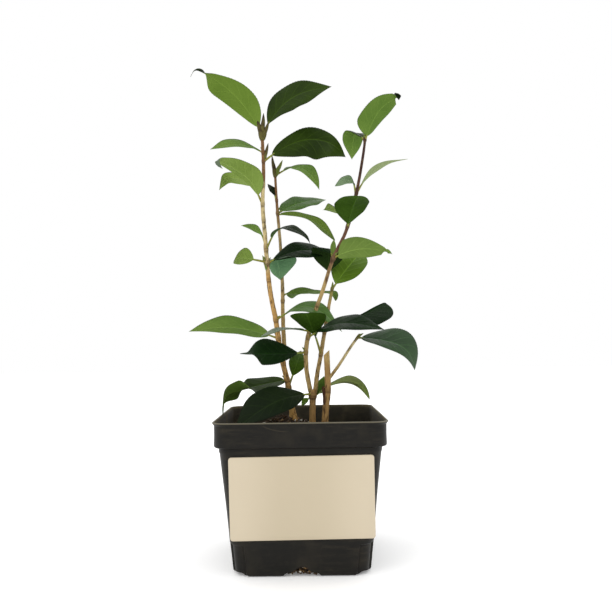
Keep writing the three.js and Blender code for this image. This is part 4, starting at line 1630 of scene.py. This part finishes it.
@dataclass
class Foliage:
    """Builds the leaves of each spray, and its buds."""

    skins: LeafSkins
    stations: int = 76
    stalk_half: float = 0.75
    thickness: float = 0.42
    teeth: float = 0.02
    recurve: float = 0.05
    quilting: float = 0.1
    groove_depth: float = 0.2
    axil_reach: float = 20.0
    axil_rise: float = 42.0
    axil_above: float = 0.8
    axil_steepest: float = 86.0
    axil_size: tuple[float, float] = (4.2, 1.7)
    longest_stalk: float = 0.4
    stalk_sides: int = 10
    stalk_rings: int = 9
    bud_sides: int = 12
    bud_rings: int = 11
    columns: tuple[float, ...] = (
        1.0, 0.95, 0.86, 0.73, 0.58, 0.43, 0.29, 0.17, 0.08, 0.03,
        -0.03, -0.08, -0.17, -0.29, -0.43, -0.58, -0.73, -0.86, -0.95, -1.0,
    )

    @staticmethod
    def directions(heading: float, rise: float, roll: float) -> tuple[np.ndarray, np.ndarray, np.ndarray]:
        """A leaf's directions: along its reach, out of its upper side, and to its left."""
        along = turned(np.array([1.0, 0.0, 0.0]), np.array([0.0, -1.0, 0.0]), rise)
        along = turned(along, np.array([0.0, 0.0, 1.0]), heading)
        level = unit(np.cross(np.array([0.0, 0.0, 1.0]), along))
        left = turned(level, along, roll)
        return along, np.cross(along, left), left

    @staticmethod
    def half_width(share: np.ndarray, leaf: Leaf, side: int) -> np.ndarray:
        """The width of a blade's left half, for side 1, or its right half, for side -1, from foot to tip."""
        widest = leaf.widest - side * leaf.skew
        rising = np.sin(np.pi / 2 * np.clip(share / widest, 0.0, 1.0)) ** leaf.foot
        falling = np.cos(np.pi / 2 * np.clip((share - widest) / (1 - widest), 0.0, 1.0)) ** leaf.tip
        return np.maximum(rising * falling * leaf.width / 2 * (1 + side * leaf.lean), 0.12)

    @staticmethod
    def turning(axis: np.ndarray, degrees: float) -> np.ndarray:
        """The matrix that turns about a unit axis."""
        return np.column_stack([turned(column, axis, degrees) for column in np.eye(3)])

    def midrib(self, root: np.ndarray, leaf: Leaf, shares: np.ndarray,
               stalk_share: float) -> tuple[np.ndarray, np.ndarray]:
        """The bowed midrib with its bends, curves and twists.

        Args:
            root: Where the stalk starts, inside the wood.
            leaf: The leaf.
            shares: Shares of the whole reach, from 0 to 1.
            stalk_share: The share that the stalk takes.

        Returns:
            The midrib's points, and the blade's left at each.
        """
        along, upper, left = self.directions(leaf.heading, leaf.rise, leaf.roll)
        bow = math.log(0.5) / math.log(leaf.peak)
        lift = np.sin(np.pi * shares ** bow) * leaf.reach
        points = (root + along * (leaf.reach * shares)[:, None] + upper * (lift * leaf.arch)[:, None]
                  + left * (lift * leaf.sway)[:, None])
        blade = (shares - stalk_share) / (1 - stalk_share)
        steps = []
        for turns in (leaf.bends, leaf.curves, leaf.twists):
            total = np.zeros(len(shares))
            for start, end, degrees in turns:
                total += degrees * smoothstep(start, end, blade)
            steps.append(np.diff(total))
        turned_so_far = np.eye(3)
        placed = [points[0]]
        lefts = [left]
        for number in range(1, len(points)):
            base = points[number] - points[number - 1]
            bend, curve, twist = (step[number - 1] for step in steps)
            if bend or curve or twist:
                tangent = unit(turned_so_far @ base)
                side = unit(turned_so_far @ left - tangent * float(np.dot(turned_so_far @ left, tangent)))
                face = np.cross(tangent, side)
                for axis, degrees in ((side, bend), (face, curve), (tangent, twist)):
                    turned_so_far = self.turning(axis, degrees) @ turned_so_far
            placed.append(placed[-1] + turned_so_far @ base)
            lefts.append(turned_so_far @ left)
        spine = np.array(placed)
        tangents = unit(np.gradient(spine, axis=0))
        sides = np.array(lefts)
        sides = unit(sides - tangents * np.sum(sides * tangents, axis=1, keepdims=True))
        return spine, sides

    def add_blade(self, gathered: Gathering, root: np.ndarray, leaf: Leaf, slots: tuple[int, int, int],
                  dice: random.Random) -> None:
        """Adds one leaf and its stalk.

        Args:
            gathered: What the leaf is added to.
            root: Where the stalk starts, inside the wood.
            leaf: The leaf.
            slots: Slots of the upper side, the underside and the stalk.
            dice: The seeded random source.
        """
        stalk_share = min(self.longest_stalk, leaf.stalk / leaf.reach)
        even = np.linspace(0, 1, self.stations + 1)
        shares = 0.6 * even + 0.4 * (0.5 - 0.5 * np.cos(np.pi * even))
        stalk_steps = np.linspace(0, stalk_share, self.stalk_rings + 1)[:-1]
        whole = np.concatenate([stalk_steps, stalk_share + (1 - stalk_share) * shares])
        points, lefts = self.midrib(root, leaf, whole, stalk_share)
        tangents = unit(np.gradient(points, axis=0))
        uppers = np.cross(tangents, lefts)
        first = len(stalk_steps)
        halves = np.column_stack([self.half_width(shares, leaf, 1), self.half_width(shares, leaf, -1)])
        tooth = np.where(np.arange(len(shares)) % 2 == 0, 1.0, 1.0 - self.teeth)
        halves = halves * np.where((shares > 0.12) & (shares < 0.97), tooth, 1.0)[:, None]
        columns = np.array(self.columns)
        out = np.abs(columns)
        phase = dice.uniform(0, 1)
        waves = dice.uniform(1.6, 2.6)
        rings = []
        spots = []
        for number, share in enumerate(shares):
            place = points[first + number]
            left = lefts[first + number]
            upper = uppers[first + number]
            width = np.where(columns > 0, halves[number][0], halves[number][1])
            fold = leaf.fold * (np.sqrt(out ** 2 + 0.0036) - 0.06)
            flutter = leaf.wave * out ** 2 * np.sin(math.tau * (waves * share + phase + 0.2 * (columns < 0)))
            recurve = -self.recurve * out ** 4
            quilt = self.quilting * np.cos(math.tau * (VEIN_PAIRS * share - VEIN_SLANT * out ** 0.8))
            quilt = quilt * 4 * out * (1 - out) * math.sin(math.pi * share)
            level = width * (fold + flutter + recurve) + quilt * np.minimum(1.0, width / 6)
            reach = out * width
            groove = self.groove_depth * np.exp(-(reach / 0.5) ** 2) * (1 - share)
            ridge = (0.55 * (1 - share) + 0.08) * np.exp(-(reach / (0.75 - 0.35 * share)) ** 2)
            skin = self.thickness / 2 * (1 - 0.45 * out ** 6) * np.minimum(1.0, 0.3 + width / 2)
            top = place + left * (columns * width)[:, None] + upper * (level + skin - groove)[:, None]
            low = place + left * (columns * width)[:, None] + upper * (level - skin - ridge)[:, None]
            rings.append(np.concatenate([top, low[::-1]]))
            across = np.column_stack([np.full(len(columns), share), 0.5 - columns / 2])
            spots.append(np.concatenate([across, across[::-1]]))
        per_side = len(columns)
        ring_slots = [slots[0]] * per_side + [slots[1]] * (per_side - 1) + [slots[0]]
        gathered.tube(np.array(rings), ring_slots, np.array(spots))
        stalk_rings = []
        stalk_spots = []
        for number in range(first + 5):
            share = whole[number] / stalk_share
            radius = self.stalk_half * (1.25 - 0.35 * min(1.0, share))
            radius = radius * (1 - 0.5 * smoothstep(1.0, 1.9, share))
            ring = []
            for angle in round_angles(self.stalk_sides):
                lift = math.sin(angle) * radius * (0.75 if math.sin(angle) > 0 else 1.0)
                ring.append(points[number] + lefts[number] * math.cos(angle) * radius
                            + uppers[number] * (lift - 0.2))
            stalk_rings.append(ring)
            stalk_spots.append([(min(1.0, share * 0.6), 0.0)] * self.stalk_sides)
        gathered.tube(np.array(stalk_rings), slots[2], np.array(stalk_spots))

    def add_bud(self, gathered: Gathering, root: np.ndarray, bud: Bud, slot: int) -> None:
        """Adds one pointed bud with overlapping scales.

        Args:
            gathered: What the bud is added to.
            root: Where it starts, inside the wood.
            bud: The bud.
            slot: Its finish slot.
        """
        along, upper, left = self.directions(bud.heading, bud.rise, 0.0)
        scales = ((0.0, 0.62, 0.92, 0.0), (0.12, 0.82, 0.86, 2.1), (0.26, 1.0, 0.72, 4.2))
        for start, end, girth, turn in scales:
            rings = []
            spots = []
            for step in range(self.bud_rings):
                share = step / (self.bud_rings - 1)
                place = start + (end - start) * share
                swell = math.sin(math.pi * min(1.0, share * 0.8 + 0.2) ** 0.85) ** 0.8
                radius = max(0.06, bud.width / 2 * girth * swell)
                ring = []
                for angle in round_angles(self.bud_sides):
                    ridge = 1 + 0.12 * math.cos(angle - turn)
                    lean = 0.1 * bud.width * share * math.cos(turn)
                    ring.append(root + along * (place * bud.length) + left * (
                        math.cos(angle) * radius * ridge + lean) + upper * math.sin(angle) * radius * ridge)
                rings.append(ring)
                spots.append([(share, 0.0)] * self.bud_sides)
            gathered.tube(np.array(rings), slot, np.array(spots))

    def build(self, effects: Effects) -> None:
        """Builds every spray and the buds.

        Args:
            effects: The shared node groups.
        """
        stalk = ShootFinish("leaf_stalk", paint(128, 118, 54), paint(126, 144, 62)).make(effects)
        brown_scale = ShootFinish("bud_scale_brown", paint(92, 88, 44), paint(52, 38, 26)).make(effects)
        green_scale = ShootFinish("bud_scale_green", paint(96, 112, 48), paint(112, 116, 58)).make(effects)
        buds = Gathering()
        bud_nodes = []
        for number, spray in enumerate(SPRAYS):
            limb = LIMBS[spray.limb]
            dice = random.Random(100 + number)
            tones: list[bpy.types.Material] = [stalk]
            gathered = Gathering()
            for leaf in spray.leaves:
                sides = (self.skins.upper[leaf.upper], self.skins.under[leaf.under])
                for skin in sides:
                    if skin not in tones:
                        tones.append(skin)
                slots = (tones.index(sides[0]), tones.index(sides[1]), 0)
                root = limb.middle(leaf.at)
                self.add_blade(gathered, root, leaf, slots, dice)
                if leaf.reach > self.axil_reach:
                    rise = min(self.axil_steepest, leaf.rise + self.axil_rise)
                    axil = Bud(leaf.at + self.axil_above, leaf.heading, rise, *self.axil_size)
                    self.add_bud(buds, limb.middle(axil.at), axil, 1)
            for bud in spray.buds:
                self.add_bud(buds, limb.middle(bud.at), bud, 0 if bud.brown else 1)
            if spray.buds:
                bud_nodes.append(spray.node)
            piece = gathered.piece(spray.node.replace("leaves_", "blades_").replace("leaf_", "blade_"),
                                   tones, crease=55.0)
            grown = spray.node.startswith("leaf_")
            settle(piece, "leaves_grown" if grown else "leaves_young", spray.node)
        piece = buds.piece("buds", [brown_scale, green_scale], crease=50.0)
        settle(piece, "leaves_young", *bud_nodes)


# The studio


@dataclass
class Studio:
    """A pale floor, soft lights and the camera at the photograph's angle."""

    focal_pixels: float = 606.0
    sensor: float = 36.0
    camera_place: Triple = (4.5, -420.0, 140.0)
    pitch: float = 3.73
    roll: float = 0.75
    floor_half: float = 3000.0
    sky_light: float = 1.08

    def camera(self) -> None:
        """Places the camera."""
        data = bpy.data.cameras.new("camera")
        data.sensor_width = self.sensor
        data.lens = self.focal_pixels / PICTURE_WIDTH * self.sensor
        data.clip_start = 0.01
        data.clip_end = 50
        camera = bpy.data.objects.new("camera", data)
        look = Matrix.Rotation(math.radians(90 + self.pitch), 4, "X")
        tip = Matrix.Rotation(math.radians(-self.roll), 4, "Z")
        place = Matrix.Translation(Vector(self.camera_place) * MILLIMETRE)
        camera.matrix_world = place @ look @ tip
        bpy.context.scene.collection.objects.link(camera)
        bpy.context.scene.camera = camera

    def floor(self, effects: Effects) -> None:
        """Lays the floor."""
        half = self.floor_half
        points = np.array([(-half, -half, 0), (half, -half, 0), (half, half, 0), (-half, half, 0)], float)
        gathered = Gathering()
        gathered.add(points, [(0, 1, 2, 3)], 0)
        pale = FloorFinish("floor_pale", (0.97, 0.97, 0.97, 1.0)).make(effects)
        floor = gathered.piece("floor", [pale])

    def light(self, name: str, place: Triple, target: Triple, size: float, power: float,
              colour: Triple = (1.0, 1.0, 1.0)) -> None:
        """Adds a soft square light.

        Args:
            name: The light's name.
            place: Where it stands, in metres.
            target: What it points at, in metres.
            size: Its side, in metres.
            power: Its power in watts.
            colour: Its colour.
        """
        data = bpy.data.lights.new(name, "AREA")
        data.shape = "SQUARE"
        data.size = size
        data.energy = power
        data.color = colour
        lamp = bpy.data.objects.new(name, data)
        lamp.location = place
        lamp.rotation_mode = "QUATERNION"
        lamp.rotation_quaternion = (Vector(target) - Vector(place)).to_track_quat("-Z", "Y")
        bpy.context.scene.collection.objects.link(lamp)

    def sky(self) -> None:
        """A white surround that shows white and lights the floor white too."""
        world = bpy.data.worlds.new("studio")
        bpy.context.scene.world = world
        world.use_nodes = True
        canvas = Canvas(world.node_tree)
        rays = canvas.add("ShaderNodeLightPath").outputs["Is Camera Ray"]
        seen, lit = (
            canvas.add("ShaderNodeBackground", {"Color": (1.0, 1.0, 1.0, 1.0), "Strength": strength})
            for strength in (1.0, self.sky_light)
        )
        both = canvas.add("ShaderNodeMixShader", {0: rays, 1: lit.outputs[0], 2: seen.outputs[0]})
        canvas.add("ShaderNodeOutputWorld", {"Surface": both.outputs[0]})

    def build(self, effects: Effects) -> None:
        """Builds the studio.

        Args:
            effects: The shared node groups.
        """
        self.camera()
        self.floor(effects)
        self.sky()
        middle = (0.0, 0.0, 0.18)
        self.light("key", (-0.9, -1.0, 1.3), middle, 0.9, 5.5, (1.0, 0.98, 0.95))
        self.light("fill", (1.3, -0.9, 0.7), middle, 1.2, 2.0, (0.98, 0.99, 1.0))
        self.light("back", (0.2, 1.2, 1.1), middle, 1.0, 3.0)
        bpy.context.scene.view_settings.view_transform = "Standard"


def main() -> None:
    """Builds the studio, the pot, the mix, the wood and the leaves."""
    logging.basicConfig(level=logging.INFO, format="%(message)s")
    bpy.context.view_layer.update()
    effects = Effects()
    Studio().build(effects)
    pot = NurseryPot()
    pot.build(effects)
    FrontLabel(pot).build(effects)
    PottingMix(pot).build(effects)
    growth: dict[str, list[float]] = {}
    for spray in SPRAYS:
        growth.setdefault(spray.limb, []).extend(leaf.at for leaf in spray.leaves)
    Wood().build(growth, effects)
    Foliage(LeafSkins(effects)).build(effects)


if __name__ == "__main__":
    main()
